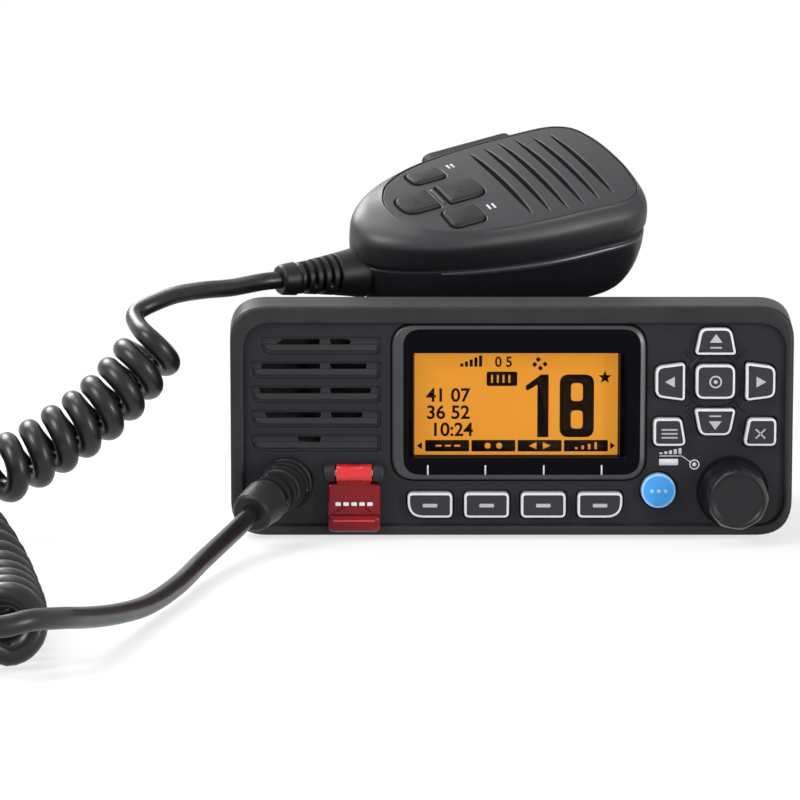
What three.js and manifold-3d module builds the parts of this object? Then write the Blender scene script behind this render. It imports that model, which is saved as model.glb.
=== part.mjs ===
// Fixed-mount marine VHF radio with a fist microphone on a curly cord.
// Millimetres, +Z up, +X to the right of someone who faces the panel, which looks towards -Y.
// The origin is on the surface that the radio stands on, under the middle of its bounding box.
import * as THREE from 'three';
import { mergeVertices } from 'three/addons/utils/BufferGeometryUtils.js';
import Module from 'manifold-3d';

const wasm = await Module();
wasm.setup();

// Overall sizes
const PANEL_WIDTH = 156.5;
const PANEL_HEIGHT = 66.5;
const OVERALL_DEPTH = 110.1;
const KNOB_REACH = 14.5;
const GAP = 0.3;
const OVERRUN = 1;
const FRONT_Y = (KNOB_REACH - OVERALL_DEPTH) / 2;
const EDGE_LEFT = -PANEL_WIDTH / 2;
const EDGE_RIGHT = PANEL_WIDTH / 2;

// Front panel
const PANEL_DEPTH = 11;
const SIDE_DRAFT = 0.5;
const TOP_DRAFT = 1.8;
const BOTTOM_DRAFT = 1;
const PANEL_CORNER = 10;
const PANEL_EDGE = 1.2;
const PANEL_WALL = 2.4;
const FACE_RECESS = 1.6;
const FACE_PLATE = 2.4;
const FACE_CORNER = 8;
const RIM_LEFT = 3.75;
const RIM_RIGHT = 2.35;
const RIM_TOP = 4.9;
const RIM_BOTTOM = 2.8;
const BOSS_RADIUS = 3.2;
const POST_RADIUS = 2;

// Speaker and its grille
const SLOT_COUNT = 5;
const SLOT_TOP = 56.2;
const SLOT_PITCH = 6.75;
const SLOT_HEIGHT = 4.5;
const SLOT_START = 5.95;
const SLOT_LENGTH = 36;
const SLOT_LEFT = EDGE_LEFT + SLOT_START;
const SLOT_RIGHT = SLOT_LEFT + SLOT_LENGTH;
const SLOT_FIRST_INSET = 2.7;
const SLOT_SWEEP = 3.6;
const SLOT_CORNER = 0.8;
const SLOT_POCKET = 1;
const SLOT_OPEN = 2.3;
const GRILLE_RIB = 2.6;
const SPEAKER_INSET = 23.85;
const SPEAKER_X = EDGE_LEFT + SPEAKER_INSET;
const SPEAKER_Z = 42.3;
const SPEAKER_OPENING = 15.2;
const SPEAKER_RADIUS = 18;
const SPEAKER_FLANGE = 1;
const SPEAKER_DEPTH = 6.8;
const MAGNET_RADIUS = 9.5;
const MAGNET_DEPTH = 5;
const CONE_RADIUS = 15.6;
const CONE_WALL = 0.7;

// Display
const LENS_LEFT_INSET = 45.15;
const LENS_RIGHT_INSET = 41.25;
const LENS_LEFT = EDGE_LEFT + LENS_LEFT_INSET;
const LENS_RIGHT = EDGE_RIGHT - LENS_RIGHT_INSET;
const LENS_BOTTOM = 16.4;
const LENS_TOP = 59.6;
const LENS_CORNER = 6.5;
const LENS_PROUD = 1.4;
const LENS_SEAT = 1.5;
const LENS_EDGE = 1;
const WINDOW_MARGIN = 3.4;
const LCD_MARGIN = 2;
const LCD_THICKNESS = 2;
const BACKLIGHT_THICKNESS = 2;

// Keys
const KEY_TRAVEL = 0.8;
const KEY_PROUD = 2.4;
const KEY_FLANGE = 0.8;
const KEY_FLANGE_RIM = 0.9;
const KEY_CORNER = 1.5;
const NAV_INSET = 22.15;
const NAV_X = EDGE_RIGHT - NAV_INSET;
const NAV_Z = 43.9;
const ENTER_WIDTH = 10.8;
const ENTER_HEIGHT = 9.5;
const NAV_RISE = 11.2;
const NAV_REACH = 12.45;
const NAV_WIDE = 11.4;
const NAV_NARROW = 8.4;
const NAV_KEY_HEIGHT = 7.4;
const NAV_SIDE_WIDTH = 8.1;
const NAV_SIDE_INNER = 10.6;
const NAV_SIDE_OUTER = 8.5;
const MENU_REACH = 12.4;
const MENU_DROP = 14;
const MENU_WIDTH = 9.1;
const MENU_HEIGHT = 7.7;
const MENU_SLANT = 1.4;
const SOFT_COUNT = 4;
const SOFT_START = 4.3;
const SOFT_END = 3;
const SOFT_SPACE = 3.3;
const SOFT_HEIGHT = 7;
const SOFT_PITCH = (LENS_RIGHT - LENS_LEFT - SOFT_START - SOFT_END) / SOFT_COUNT;
const SOFT_Z = 9.5;
const SOFT_WIDTH = SOFT_PITCH - SOFT_SPACE;
const SOFT_FIRST_X = LENS_LEFT + SOFT_START + SOFT_WIDTH / 2;
const SOFT_SWEEP_SHARE = 1.006;
const SOFT_SWEEP = SOFT_SWEEP_SHARE / (1 / SOFT_WIDTH + 1 / SOFT_HEIGHT);
const CHANNEL_INSET = 37.55;
const CHANNEL_X = EDGE_RIGHT - CHANNEL_INSET;
const CHANNEL_Z = 13.5;
const CHANNEL_RADIUS = 4.8;

// Distress key, its cover and the cover's hinge
const COVER_INSET = 34.65;
const COVER_X = EDGE_LEFT + COVER_INSET;
const COVER_WIDTH = 14.6;
const COVER_BOTTOM = 2.2;
const COVER_TOP = 15.8;
const COVER_PROUD = 3.8;
const COVER_WALL = 1.4;
const COVER_LIP = 3.2;
const COVER_LIP_STEP = 1;
const COVER_CORNER = 1.2;
const HINGE_Z = 18.6;
const HINGE_RADIUS = 2.5;
const HINGE_PIN_RADIUS = 1;
const BARREL_WIDTH = 9.9;
const HINGE_SPAN = 17.1;
const SPRING_WIDTH = 3.4;
const SPRING_RADIUS = 1.7;
const DISTRESS_WIDTH = 8.8;
const DISTRESS_HEIGHT = 6.6;
const DISTRESS_Z = 8.9;
const DISTRESS_PROUD = 1.4;

// Volume knob and its encoder
const KNOB_INSET = 16.95;
const KNOB_X = EDGE_RIGHT - KNOB_INSET;
const KNOB_Z = 13.1;
const KNOB_SKIRT_RADIUS = 9;
const KNOB_SKIRT = 4;
const KNOB_RADIUS = 8.4;
const KNOB_BACK = 1.1;
const KNOB_LOBES = 9;
const KNOB_LOBE = 0.35;
const KNOB_EDGE = 1.2;
const KNOB_BORE_DEPTH = 9;
const PUSH_TRAVEL = 0.8;
const SHAFT_RADIUS = 3;
const ENCODER_SIZE = 13;
const ENCODER_WALL = 1;
const ROTOR_RADIUS = 4.9;
const ROTOR_DEPTH = 2.4;

// Key mat and key board
const MAT_LEFT_INSET = 24.75;
const MAT_RIGHT_INSET = 11.25;
const MAT_LEFT = EDGE_LEFT + MAT_LEFT_INSET;
const MAT_RIGHT = EDGE_RIGHT - MAT_RIGHT_INSET;
const MAT_BOTTOM = 4.4;
const MAT_SHELF = 14.6;
const MAT_TOP = 59.6;
const MAT_THICKNESS = 2.4;
const BOARD_THICKNESS = 1.6;
const BOARD_MARGIN = 0.6;

// Chassis
const CHASSIS_INSET = 10.25;
const CHASSIS_WIDTH = PANEL_WIDTH - CHASSIS_INSET * 2;
const CHASSIS_BOTTOM = 3;
const CHASSIS_TOP_INSET = 7.9;
const CHASSIS_TOP = PANEL_HEIGHT - CHASSIS_TOP_INSET;
const CHASSIS_END = 88;
const CHASSIS_WALL = 2.5;
const FLANGE_INSET = 1.2;
const FLANGE_THICKNESS = 3;
const GASKET_THICKNESS = 1;
const FIN_COUNT = 15;
const FIN_THICKNESS = 2;
const FIN_END = 101;
const FIN_BOTTOM = 27;
const FIN_DROP = 3;
const FIN_TOP = CHASSIS_TOP - FIN_DROP;
const FOOT_INSET = 18;
const FOOT_SPREAD = CHASSIS_WIDTH - FOOT_INSET * 2;
const FOOT_WIDTH = 6;
const STANDOFF_RADIUS = 3;
const STANDOFF_HEIGHT = 3.7;
const SCREW_INSET = 6.75;
const SCREW_SPREAD = PANEL_WIDTH - SCREW_INSET * 2;
const SCREW_LOW = 8.5;
const SCREW_HIGH_INSET = 9.5;
const SCREW_HIGH = PANEL_HEIGHT - SCREW_HIGH_INSET;
const SCREW_SHANK = 1.5;
const SCREW_HEAD = 2.8;
const SCREW_HEAD_HEIGHT = 2.2;
const SCREW_LENGTH = 10;
const INSERT_DEPTH = 50;
const INSERT_Z = 32;
const INSERT_RADIUS = 4;
const INSERT_BORE = 2.1;
const INSERT_LENGTH = 6;
const INSERT_RECESS = 0.2;
const BRACKET_PAD_RADIUS = 11;
const BRACKET_PAD_PROUD = 0.8;

// Inside the chassis
const MAIN_BOARD_INSET = 8;
const MAIN_BOARD_WIDTH = CHASSIS_WIDTH - MAIN_BOARD_INSET * 2;
const MAIN_BOARD_START = 18;
const MAIN_BOARD_END = 82;
const CAN_WIDTH = 46;
const CAN_INSET = 11;
const CAN_X = CAN_INSET + (CAN_WIDTH - MAIN_BOARD_WIDTH) / 2;
const CAN_START = 30;
const CAN_END = 70;
const CAN_HEIGHT = 11;
const CAN_WALL = 0.6;
const MODULE_WIDTH = 42;
const MODULE_INSET = 5;
const MODULE_X = (MAIN_BOARD_WIDTH - MODULE_WIDTH) / 2 - MODULE_INSET;
const MODULE_BOTTOM = 22;
const MODULE_HEIGHT = 18;
const MODULE_DEPTH = 9;

// Rear socket and glands
const REAR_Z = 14.5;
const REAR_INSET = 26;
const SOCKET_X = REAR_INSET - CHASSIS_WIDTH / 2;
const SOCKET_FLANGE_RADIUS = 11;
const SOCKET_FLANGE = 2;
const SOCKET_RADIUS = 7.9;
const SOCKET_STUB = 6;
const SOCKET_STUB_RADIUS = 7;
const SOCKET_RECESS = 1.5;
const SOCKET_LIP = 1.2;
const SOCKET_PIN_BORE = 1.9;
const SOCKET_PIN_DEPTH = 8;
const POWER_X = CHASSIS_WIDTH / 2 - REAR_INSET;
const POWER_RADIUS = 6;
const POWER_FLANGE_RADIUS = 8;
const POWER_BORE = 2.6;
const POWER_LENGTH = 13;
const ACCESSORY_X = 6;
const ACCESSORY_RADIUS = 4.6;
const ACCESSORY_FLANGE_RADIUS = 6.2;
const ACCESSORY_BORE = 1.9;
const ACCESSORY_LENGTH = 9;
const GLAND_FLANGE = 2;
const GLAND_STUB = 5;

// Microphone body. Its own frame has +X from the cord to the head, +Z out of its face.
const MIC_TILT = THREE.MathUtils.degToRad(28.3);
const MIC_SPIN = THREE.MathUtils.degToRad(27.7);
const MIC_INSET = 73.85;
const MIC_X = EDGE_LEFT + MIC_INSET;
const MIC_SET_BACK = 49.9;
const MIC_CORD_END = -44.5;
const MIC_HEAD_END = 42.5;
const MIC_HALF_WIDTH = 27.7;
const MIC_SPLIT = 12;
const MIC_THICKNESS = 32;
const MIC_BACK_SLOPE = 0.1;
const MIC_WALL = 2;
const MIC_SLOT_COUNT = 6;
const MIC_SLOT_FIRST = 2.9;
const MIC_SLOT_PITCH = 5.38;
const MIC_SLOT_LENGTH = 41.6;
const MIC_SLOT_SHORTER = 0.95;
const MIC_SLOT_WIDTH = 1.3;
const MIC_KEY_PROUD = 0.9;
const MIC_KEY_TRAVEL = 0.6;
const MIC_KEY_FLANGE = 0.9;
const MIC_KEY_RIM = 0.7;
const MIC_PAD_HALF = 4.9;
const MIC_PAD_LOW = -30.3;
const MIC_PAD_SPLIT = -19.3;
const MIC_PAD_RESUME = -16.1;
const MIC_PAD_HIGH = -3.8;
const MIC_KEY_A = [-15.1, 12.4];
const MIC_KEY_B = [-15.6, -11.8];
const MIC_KEY_LENGTH = 10.8;
const MIC_KEY_A_WIDTH = 7.2;
const MIC_KEY_B_WIDTH = 8.6;
const MIC_KEY_CORNER = 2.4;
const MIC_BOARD_START = -31;
const MIC_BOARD_END = 1;
const MIC_BOARD_WIDTH = 34;
const MIC_BOARD_NARROW = 16;
const MIC_BOARD_THICKNESS = 1.6;
const MIC_POST_RADIUS = 1.6;
const CAPSULE_X = 15.6;
const CAPSULE_RADIUS = 4.85;
const CAPSULE_LENGTH = 6;
const PTT_START = -7;
const PTT_END = 23;
const PTT_TOP = 5;
const PTT_BOTTOM = 19;
const PTT_PROUD = 3.2;
const PTT_INWARD = 7;
const PTT_CORNER = 3;
const STUD_X = 5;
const STUD_LENGTH = 7.6;
const STUD_HEAD = 3;
const STUD_RADIUS = 6.5;
const STUD_NECK_RADIUS = 3.6;

// Outline of the microphone at its parting line, as shares of its half length and half width
const MIC_OUTLINE_SHARES = [
  [-1, 0], [-0.99, 0.15], [-0.93, 0.3], [-0.74, 0.5], [-0.54, 0.645], [-0.305, 0.776], [0.12, 0.94],
  [0.5, 0.99], [0.79, 0.975], [0.915, 0.83], [0.982, 0.48], [1, 0],
];
// The same points on the flat face, which is blunter towards the cord
const MIC_FACE_SHARES = [
  [-1, 0], [-0.985, 0.2], [-0.93, 0.38], [-0.84, 0.57], [-0.645, 0.77], [-0.4, 0.89], [0, 0.975],
  [0.45, 1], [0.8, 0.985], [0.93, 0.84], [0.985, 0.5], [1, 0],
];
// Levels of the two shells: depth share, width share, and what the cord end and head end draw in,
// as shares of the half width
const MIC_FRONT_SHARES = [
  [0, 0.84, 0.4, 0.09], [0.12, 0.905, 0.19, 0.045], [0.33, 0.965, 0.05, 0.015], [0.66, 0.992, 0.01, 0],
  [1, 1, 0, 0],
];
const MIC_REAR_SHARES = [
  [0, 0.985, 0.01, 0.01], [0.3, 0.975, 0.01, 0.03], [0.62, 0.94, 0.03, 0.11], [0.86, 0.87, 0.09, 0.24],
  [1, 0.76, 0.2, 0.4],
];

const MIC_INNER_DRAW_SHARE = 0.85;
const MIC_PAD_ROUND_SHARE = 0.8;

// Cord boots: shares of the length along, then the radius there as a share of the base radius
const BOOT_WALL = 1.2;
const BOOT_RIBS = 6;
const BOOT_GROOVE = 0.7;
const RADIO_BOOT_INSET = 15.85;
const RADIO_BOOT_Z = 15.3;
const RADIO_BOOT_RADIUS = 7.6;
const RADIO_BOOT_TIP_RADIUS = 5;
const RADIO_BOOT_TIP = [7.05, -23.5, 10.6];
const RADIO_BOOT_HEADING = [-0.386, -0.863, -0.325];
const MIC_BOOT_RADIUS = 7.4;
const MIC_BOOT_TIP_RADIUS = 4.2;
const MIC_BOOT_SPACE = 1.7;
const MIC_BOOT_LENGTH = 22.4;
const MIC_BOOT_DEPTH = 17.3;
const MIC_BOOT_TIP_DEPTH = 13;

// Cord. Routes are hand-picked points as x, y, z; X counts from the panel's left edge, Y from its front.
const CORD_DIAMETER = 5;
const CURL_CORD_DIAMETER = 6.2;
const CORD_SIDES = 8;
const MIC_STRETCH_STEPS = 22;
const RADIO_STRETCH_STEPS = 56;
const MIC_STRETCH = [
  [-0.55, 23.5, 67.8], [-7.75, 22, 67.3], [-15.65, 20.8, 66.1], [-21.35, 19.8, 64.2], [-25.15, 17.6, 62.4],
];
const RADIO_STRETCH = [
  [-53.65, -183.4, 14.4], [-54.35, -188.2, 15.4], [-51.15, -191.8, 14.4], [-46.15, -192, 12.6],
  [-40.25, -190.8, 12.2], [-34.05, -187, 12.9], [-28.45, -178, 11.7], [-23.65, -163, 9], [-18.75, -144, 6.2],
  [-13.45, -121, 4], [-8.25, -95, 3.9], [-3.25, -62, 5],
];
const COIL_AXIS = [
  [-19.95, 8, 54.6], [-25.45, 5.5, 46.8], [-35.55, 0.5, 36.3], [-47.05, -4.5, 28.3], [-59.25, -10, 21.6],
  [-75.75, -20, 16], [-85.25, -39, 14], [-81.25, -62, 15.5], [-71.25, -77, 18], [-62.55, -89, 19],
  [-56.35, -104, 16], [-50.35, -122, 12.2], [-45.15, -145, 9.8], [-42.35, -161, 9.6], [-39.75, -184, 9.6],
];
const COIL_RADIUS = 6.3;
const COIL_CURLS = 27.8;
const COIL_TIGHT_PITCH = 7.5;
const COIL_LOOSE_PITCH = 9.4;
const COIL_TIGHT_RUN = 46;
const COIL_PITCH_CHANGE = 16;
const COIL_START_SIDE = [-0.72, 0.1, 0.7];
const COIL_LEAD_HEADING = [0.32, -0.88, -0.35];
const COIL_SWELL_STEPS = 6;
const COIL_STEPS_PER_CURL = 8;
const COIL_SIDES = 5;

// Depths into the radio, from the panel's front
const FACE = FACE_RECESS;
const FACE_BACK = FACE + FACE_PLATE;
const KEY_FRONT = FACE - KEY_PROUD;
const KEY_FLANGE_FRONT = FACE_BACK + GAP;
const KEY_BACK = KEY_FLANGE_FRONT + KEY_FLANGE;
const MAT_FRONT = KEY_BACK + KEY_TRAVEL + GAP;
const BOARD_FRONT = MAT_FRONT + MAT_THICKNESS + GAP;
const GASKET_FRONT = PANEL_DEPTH + GAP;
const FLANGE_FRONT = GASKET_FRONT + GASKET_THICKNESS + GAP;
const FLANGE_BACK = FLANGE_FRONT + FLANGE_THICKNESS;
const CHASSIS_INNER_END = CHASSIS_END - CHASSIS_WALL;

// Edges of the recessed face
const FACE_LEFT = SIDE_DRAFT - PANEL_WIDTH / 2 + RIM_LEFT;
const FACE_RIGHT = PANEL_WIDTH / 2 - SIDE_DRAFT - RIM_RIGHT;
const FACE_LOW = BOTTOM_DRAFT + RIM_BOTTOM;
const FACE_HIGH = PANEL_HEIGHT - TOP_DRAFT - RIM_TOP;

// Geometry helpers
const QUARTER_TURN = Math.PI / 2;
const FULL_TURN = Math.PI * 2;
const CURVE_SEGMENTS = 3;
const ROUND_SEGMENTS = 24;
const PEG_SEGMENTS = 12;
const PAD_SEGMENTS = 32;
const BORE_SEGMENTS = 16;
const MERGE_SHARE = 1 / 3000;

const radio = new THREE.Group();
const mic = new THREE.Group();
radio.add(mic);

function addPiece(name, geometry, colour, roughness, metalness = 0, parent = radio) {
  const material = new THREE.MeshStandardMaterial({ color: colour, roughness, metalness });
  const mesh = new THREE.Mesh(geometry, material);
  mesh.name = name;
  parent.add(mesh);
  return mesh;
}

function signedVolume(geometry) {
  const position = geometry.attributes.position;
  const index = geometry.index.array;
  const a = new THREE.Vector3();
  const b = new THREE.Vector3();
  const c = new THREE.Vector3();
  let volume = 0;
  for (let i = 0; i < index.length; i += 3) {
    a.fromBufferAttribute(position, index[i]);
    b.fromBufferAttribute(position, index[i + 1]);
    c.fromBufferAttribute(position, index[i + 2]);
    volume += a.dot(b.cross(c));
  }
  return volume;
}

// Shared vertices merged and faces turned outwards
function closed(geometry) {
  const bare = geometry.clone();
  bare.deleteAttribute('normal');
  bare.deleteAttribute('uv');
  const merged = mergeVertices(bare, GAP * MERGE_SHARE);
  if (signedVolume(merged) < 0) {
    const index = merged.index.array;
    for (let i = 0; i < index.length; i += 3) {
      const second = index[i + 1];
      index[i + 1] = index[i + 2];
      index[i + 2] = second;
    }
  }
  merged.computeVertexNormals();
  return merged;
}

function toSolid(geometry) {
  const merged = closed(geometry);
  const vertProperties = new Float32Array(merged.attributes.position.array);
  const triVerts = new Uint32Array(merged.index.array);
  return new wasm.Manifold(new wasm.Mesh({ numProp: 3, vertProperties, triVerts }));
}

function toGeometry(solid) {
  const mesh = solid.getMesh();
  const geometry = new THREE.BufferGeometry();
  geometry.setAttribute('position', new THREE.BufferAttribute(new Float32Array(mesh.vertProperties), 3));
  geometry.setIndex(new THREE.BufferAttribute(new Uint32Array(mesh.triVerts), 1));
  geometry.computeVertexNormals();
  return geometry;
}

function joined(geometries) {
  return geometries.map(toSolid).reduce((sum, solid) => sum.add(solid));
}

// One geometry from those joined, less those cut away
function carve(solids, cuts = []) {
  const body = cuts.map(toSolid).reduce((rest, cut) => rest.subtract(cut), joined(solids));
  return toGeometry(body);
}

function roundedRect(left, right, bottom, top, corner) {
  const points = [[left, bottom], [right, bottom], [right, top], [left, top]];
  return roundedPolygon(points, Array(points.length).fill(corner));
}

// Polygon whose corners are rounded, each with its own radius
function roundedPolygon(points, radii) {
  const shape = new THREE.Shape();
  points.forEach((point, i) => {
    const corner = new THREE.Vector2(...point);
    const before = new THREE.Vector2(...points[(i + points.length - 1) % points.length]).sub(corner);
    const after = new THREE.Vector2(...points[(i + 1) % points.length]).sub(corner);
    const halfAngle = Math.abs(before.angleTo(after)) / 2;
    const run = radii[i] / Math.tan(halfAngle);
    const from = corner.clone().addScaledVector(before.normalize(), run);
    const to = corner.clone().addScaledVector(after.normalize(), run);
    if (i === 0) {
      shape.moveTo(from.x, from.y);
    } else {
      shape.lineTo(from.x, from.y);
    }
    shape.quadraticCurveTo(corner.x, corner.y, to.x, to.y);
  });
  shape.closePath();
  return shape;
}

function circle(x, z, radius) {
  const shape = new THREE.Shape();
  shape.absarc(x, z, radius, 0, FULL_TURN, false);
  return shape;
}

// Outline in X and Z, drawn out between two depths behind the panel's front
function prism(shape, front, back, segments = CURVE_SEGMENTS) {
  const geometry = new THREE.ExtrudeGeometry(shape, {
    depth: back - front,
    bevelEnabled: false,
    curveSegments: segments,
  });
  geometry.rotateX(QUARTER_TURN);
  return geometry.translate(0, FRONT_Y + back, 0);
}

function disc(x, z, radius, front, back, segments = ROUND_SEGMENTS) {
  const geometry = new THREE.CylinderGeometry(radius, radius, back - front, segments);
  return geometry.translate(x, FRONT_Y + (front + back) / 2, z);
}

function block(left, right, front, back, bottom, top) {
  const geometry = new THREE.BoxGeometry(right - left, back - front, top - bottom);
  return geometry.translate((left + right) / 2, FRONT_Y + (front + back) / 2, (bottom + top) / 2);
}

// Turned piece whose axis runs into the radio: profile points are radius and depth
function turned(profile, x, z, segments = ROUND_SEGMENTS) {
  const points = profile.map(([radius, depth]) => new THREE.Vector2(radius, depth));
  const geometry = new THREE.LatheGeometry(points, segments);
  return geometry.translate(x, FRONT_Y, z);
}

// Closed skin through rings that have the same number of points, capped at both ends
function skin(rings) {
  const count = rings[0].length;
  const positions = [];
  const index = [];
  rings.forEach((ring) => ring.forEach((point) => positions.push(point.x, point.y, point.z)));
  for (let r = 0; r + 1 < rings.length; r += 1) {
    for (let i = 0; i < count; i += 1) {
      const a = r * count + i;
      const b = r * count + ((i + 1) % count);
      index.push(a, b, b + count, a, b + count, a + count);
    }
  }
  const lastStart = (rings.length - 1) * count;
  [[rings[0], 0, true], [rings.at(-1), lastStart, false]].forEach(([ring, start, flip]) => {
    const middle = ring.reduce((sum, point) => sum.add(point), new THREE.Vector3()).divideScalar(count);
    const centre = positions.length / 3;
    positions.push(middle.x, middle.y, middle.z);
    for (let i = 0; i < count; i += 1) {
      const a = start + i;
      const b = start + ((i + 1) % count);
      index.push(centre, ...(flip ? [b, a] : [a, b]));
    }
  });
  const geometry = new THREE.BufferGeometry();
  geometry.setAttribute('position', new THREE.Float32BufferAttribute(positions, 3));
  geometry.setIndex(index);
  return closed(geometry);
}

// Round tube through points, each with its own radius; the frame is carried along without twist
function tubeSkin(points, radii, sides) {
  let side = new THREE.Vector3();
  const rings = points.map((point, i) => {
    const before = points[Math.max(i - 1, 0)];
    const after = points[Math.min(i + 1, points.length - 1)];
    const heading = new THREE.Vector3().subVectors(after, before).normalize();
    if (i === 0) {
      side = Math.abs(heading.z) < 0.9 ? new THREE.Vector3(0, 0, 1) : new THREE.Vector3(1, 0, 0);
    }
    side = side.clone().addScaledVector(heading, -side.dot(heading)).normalize();
    const across = new THREE.Vector3().crossVectors(heading, side);
    return Array.from({ length: sides }, (_, k) => {
      const angle = (k / sides) * FULL_TURN;
      return point.clone()
        .addScaledVector(side, Math.cos(angle) * radii[i])
        .addScaledVector(across, Math.sin(angle) * radii[i]);
    });
  });
  return skin(rings);
}

// Points of a closed outline, laid at one depth
function outlineRing(shape, depth, segments) {
  const points = shape.getPoints(segments);
  const closes = points[0].distanceTo(points.at(-1)) < GAP / 10;
  const ring = closes ? points.slice(0, -1) : points;
  return ring.map((point) => new THREE.Vector3(point.x, FRONT_Y + depth, point.y));
}

// Rectangle of the display window, drawn in by a margin
function displayRect(margin, corner) {
  return roundedRect(LENS_LEFT + margin, LENS_RIGHT - margin, LENS_BOTTOM + margin,
    LENS_TOP - margin, corner);
}

// Front panel: drafted rim, recessed face with its openings, bosses and hinge lugs
function panelRing(depth, inset) {
  const share = 1 - depth / PANEL_DEPTH;
  const side = PANEL_WIDTH / 2 - SIDE_DRAFT * share - inset;
  const bottom = BOTTOM_DRAFT * share + inset;
  const top = PANEL_HEIGHT - TOP_DRAFT * share - inset;
  const outline = roundedRect(-side, side, bottom, top, PANEL_CORNER - inset);
  return outlineRing(outline, depth, CURVE_SEGMENTS * 2);
}

function slotShape(row, inset = 0) {
  const top = SLOT_TOP - row * SLOT_PITCH;
  const left = SLOT_LEFT + (row === 0 ? SLOT_FIRST_INSET : 0) + inset;
  const right = SLOT_RIGHT - inset;
  const low = top - SLOT_HEIGHT;
  const corners = [[left, low], [right, low], [right, top], [left, top]];
  return roundedPolygon(corners, [SLOT_SWEEP - inset, SLOT_CORNER, SLOT_CORNER, SLOT_CORNER]);
}

function lugs(front, back) {
  const lugWidth = (HINGE_SPAN - BARREL_WIDTH) / 2 - GAP;
  return [-1, 1].flatMap((side) => {
    const middle = COVER_X + side * (HINGE_SPAN - lugWidth) / 2;
    const round = new THREE.CylinderGeometry(HINGE_RADIUS, HINGE_RADIUS, lugWidth, PEG_SEGMENTS);
    round.rotateZ(QUARTER_TURN).translate(middle, FRONT_Y + front, HINGE_Z);
    const foot = block(middle - lugWidth / 2, middle + lugWidth / 2, front, back,
      HINGE_Z - HINGE_RADIUS, HINGE_Z + HINGE_RADIUS);
    return [round, foot];
  });
}

// Round bar on the axis of the cover's hinge
function hingeRound(radius, width) {
  const bar = new THREE.CylinderGeometry(radius, radius, width, PEG_SEGMENTS);
  return bar.rotateZ(QUARTER_TURN).translate(COVER_X, FRONT_Y + HINGE_DEPTH, HINGE_Z);
}

const HINGE_DEPTH = FACE - HINGE_RADIUS - GAP;
const SCREW_PLACES = [-1, 1].flatMap((side) => (
  [SCREW_LOW, SCREW_HIGH].map((z) => [side * SCREW_SPREAD / 2, z])
));
const POST_PLACES = [
  [MAT_LEFT - POST_RADIUS, MAT_SHELF + POST_RADIUS * 2],
  [LENS_LEFT - POST_RADIUS * 2, MAT_SHELF + POST_RADIUS * 2],
];

// One disc at each screw
function screwDiscs(radius, front, back) {
  return SCREW_PLACES.map(([x, z]) => disc(x, z, radius, front, back, PEG_SEGMENTS));
}

function frontPanel() {
  const shell = skin([
    panelRing(PANEL_DEPTH, 0), panelRing(PANEL_EDGE, 0), panelRing(PANEL_EDGE / 3, PANEL_EDGE / 4),
    panelRing(0, PANEL_EDGE),
  ]);
  const hollowSide = PANEL_WIDTH / 2 - SIDE_DRAFT - PANEL_WALL;
  const hollow = roundedRect(-hollowSide, hollowSide, BOTTOM_DRAFT + PANEL_WALL,
    PANEL_HEIGHT - TOP_DRAFT - PANEL_WALL, PANEL_CORNER - PANEL_WALL);
  const face = roundedRect(FACE_LEFT, FACE_RIGHT, FACE_LOW, FACE_HIGH, FACE_CORNER);
  let body = toSolid(shell)
    .subtract(toSolid(prism(hollow, FACE_BACK, PANEL_DEPTH + OVERRUN)))
    .subtract(toSolid(prism(face, -OVERRUN, FACE)));
  const additions = [
    ...screwDiscs(BOSS_RADIUS, FACE_BACK - OVERRUN, PANEL_DEPTH),
    ...POST_PLACES.map(([x, z]) => disc(x, z, POST_RADIUS, FACE_BACK - OVERRUN, BOARD_FRONT - GAP,
      PEG_SEGMENTS)),
    ...lugs(HINGE_DEPTH, FACE + OVERRUN),
  ];
  body = additions.reduce((sum, piece) => sum.add(toSolid(piece)), body);
  const cuts = [
    prism(displayRect(-GAP, LENS_CORNER), -OVERRUN, FACE + LENS_SEAT + GAP),
    block(COVER_X - COVER_WIDTH / 2 - GAP * 2, COVER_X + COVER_WIDTH / 2 + GAP * 2, -OVERRUN, FACE,
      COVER_BOTTOM - GAP * 2, FACE_LOW + OVERRUN),
    prism(displayRect(WINDOW_MARGIN, FACE_RECESS), 0, FACE_BACK + OVERRUN),
    disc(KNOB_X, KNOB_Z, SHAFT_RADIUS + GAP, -OVERRUN, FACE_BACK + OVERRUN),
    disc(EDGE_LEFT + RADIO_BOOT_INSET, RADIO_BOOT_Z, BOOT_STEM_RADIUS + GAP, 0, FACE_BACK + OVERRUN),
    hingeRound(HINGE_PIN_RADIUS + GAP, HINGE_SPAN + OVERRUN),
    ...KEYS.map((key) => prism(key.outline(GAP), -OVERRUN * 2, FACE_BACK + OVERRUN, key.segments)),
    ...screwDiscs(SCREW_SHANK + GAP, SCREW_TIP - GAP, PANEL_DEPTH + OVERRUN),
  ];
  body = cuts.reduce((rest, cut) => rest.subtract(toSolid(cut)), body);
  for (let row = 0; row < SLOT_COUNT; row += 1) {
    body = body.subtract(toSolid(prism(slotShape(row), 0, FACE + SLOT_POCKET, 2)));
    grilleWindows(row).forEach((window) => {
      body = body.subtract(toSolid(window));
    });
  }
  addPiece('front_panel', toGeometry(body), 0x2b2b2e, 0.55);
}

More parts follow.
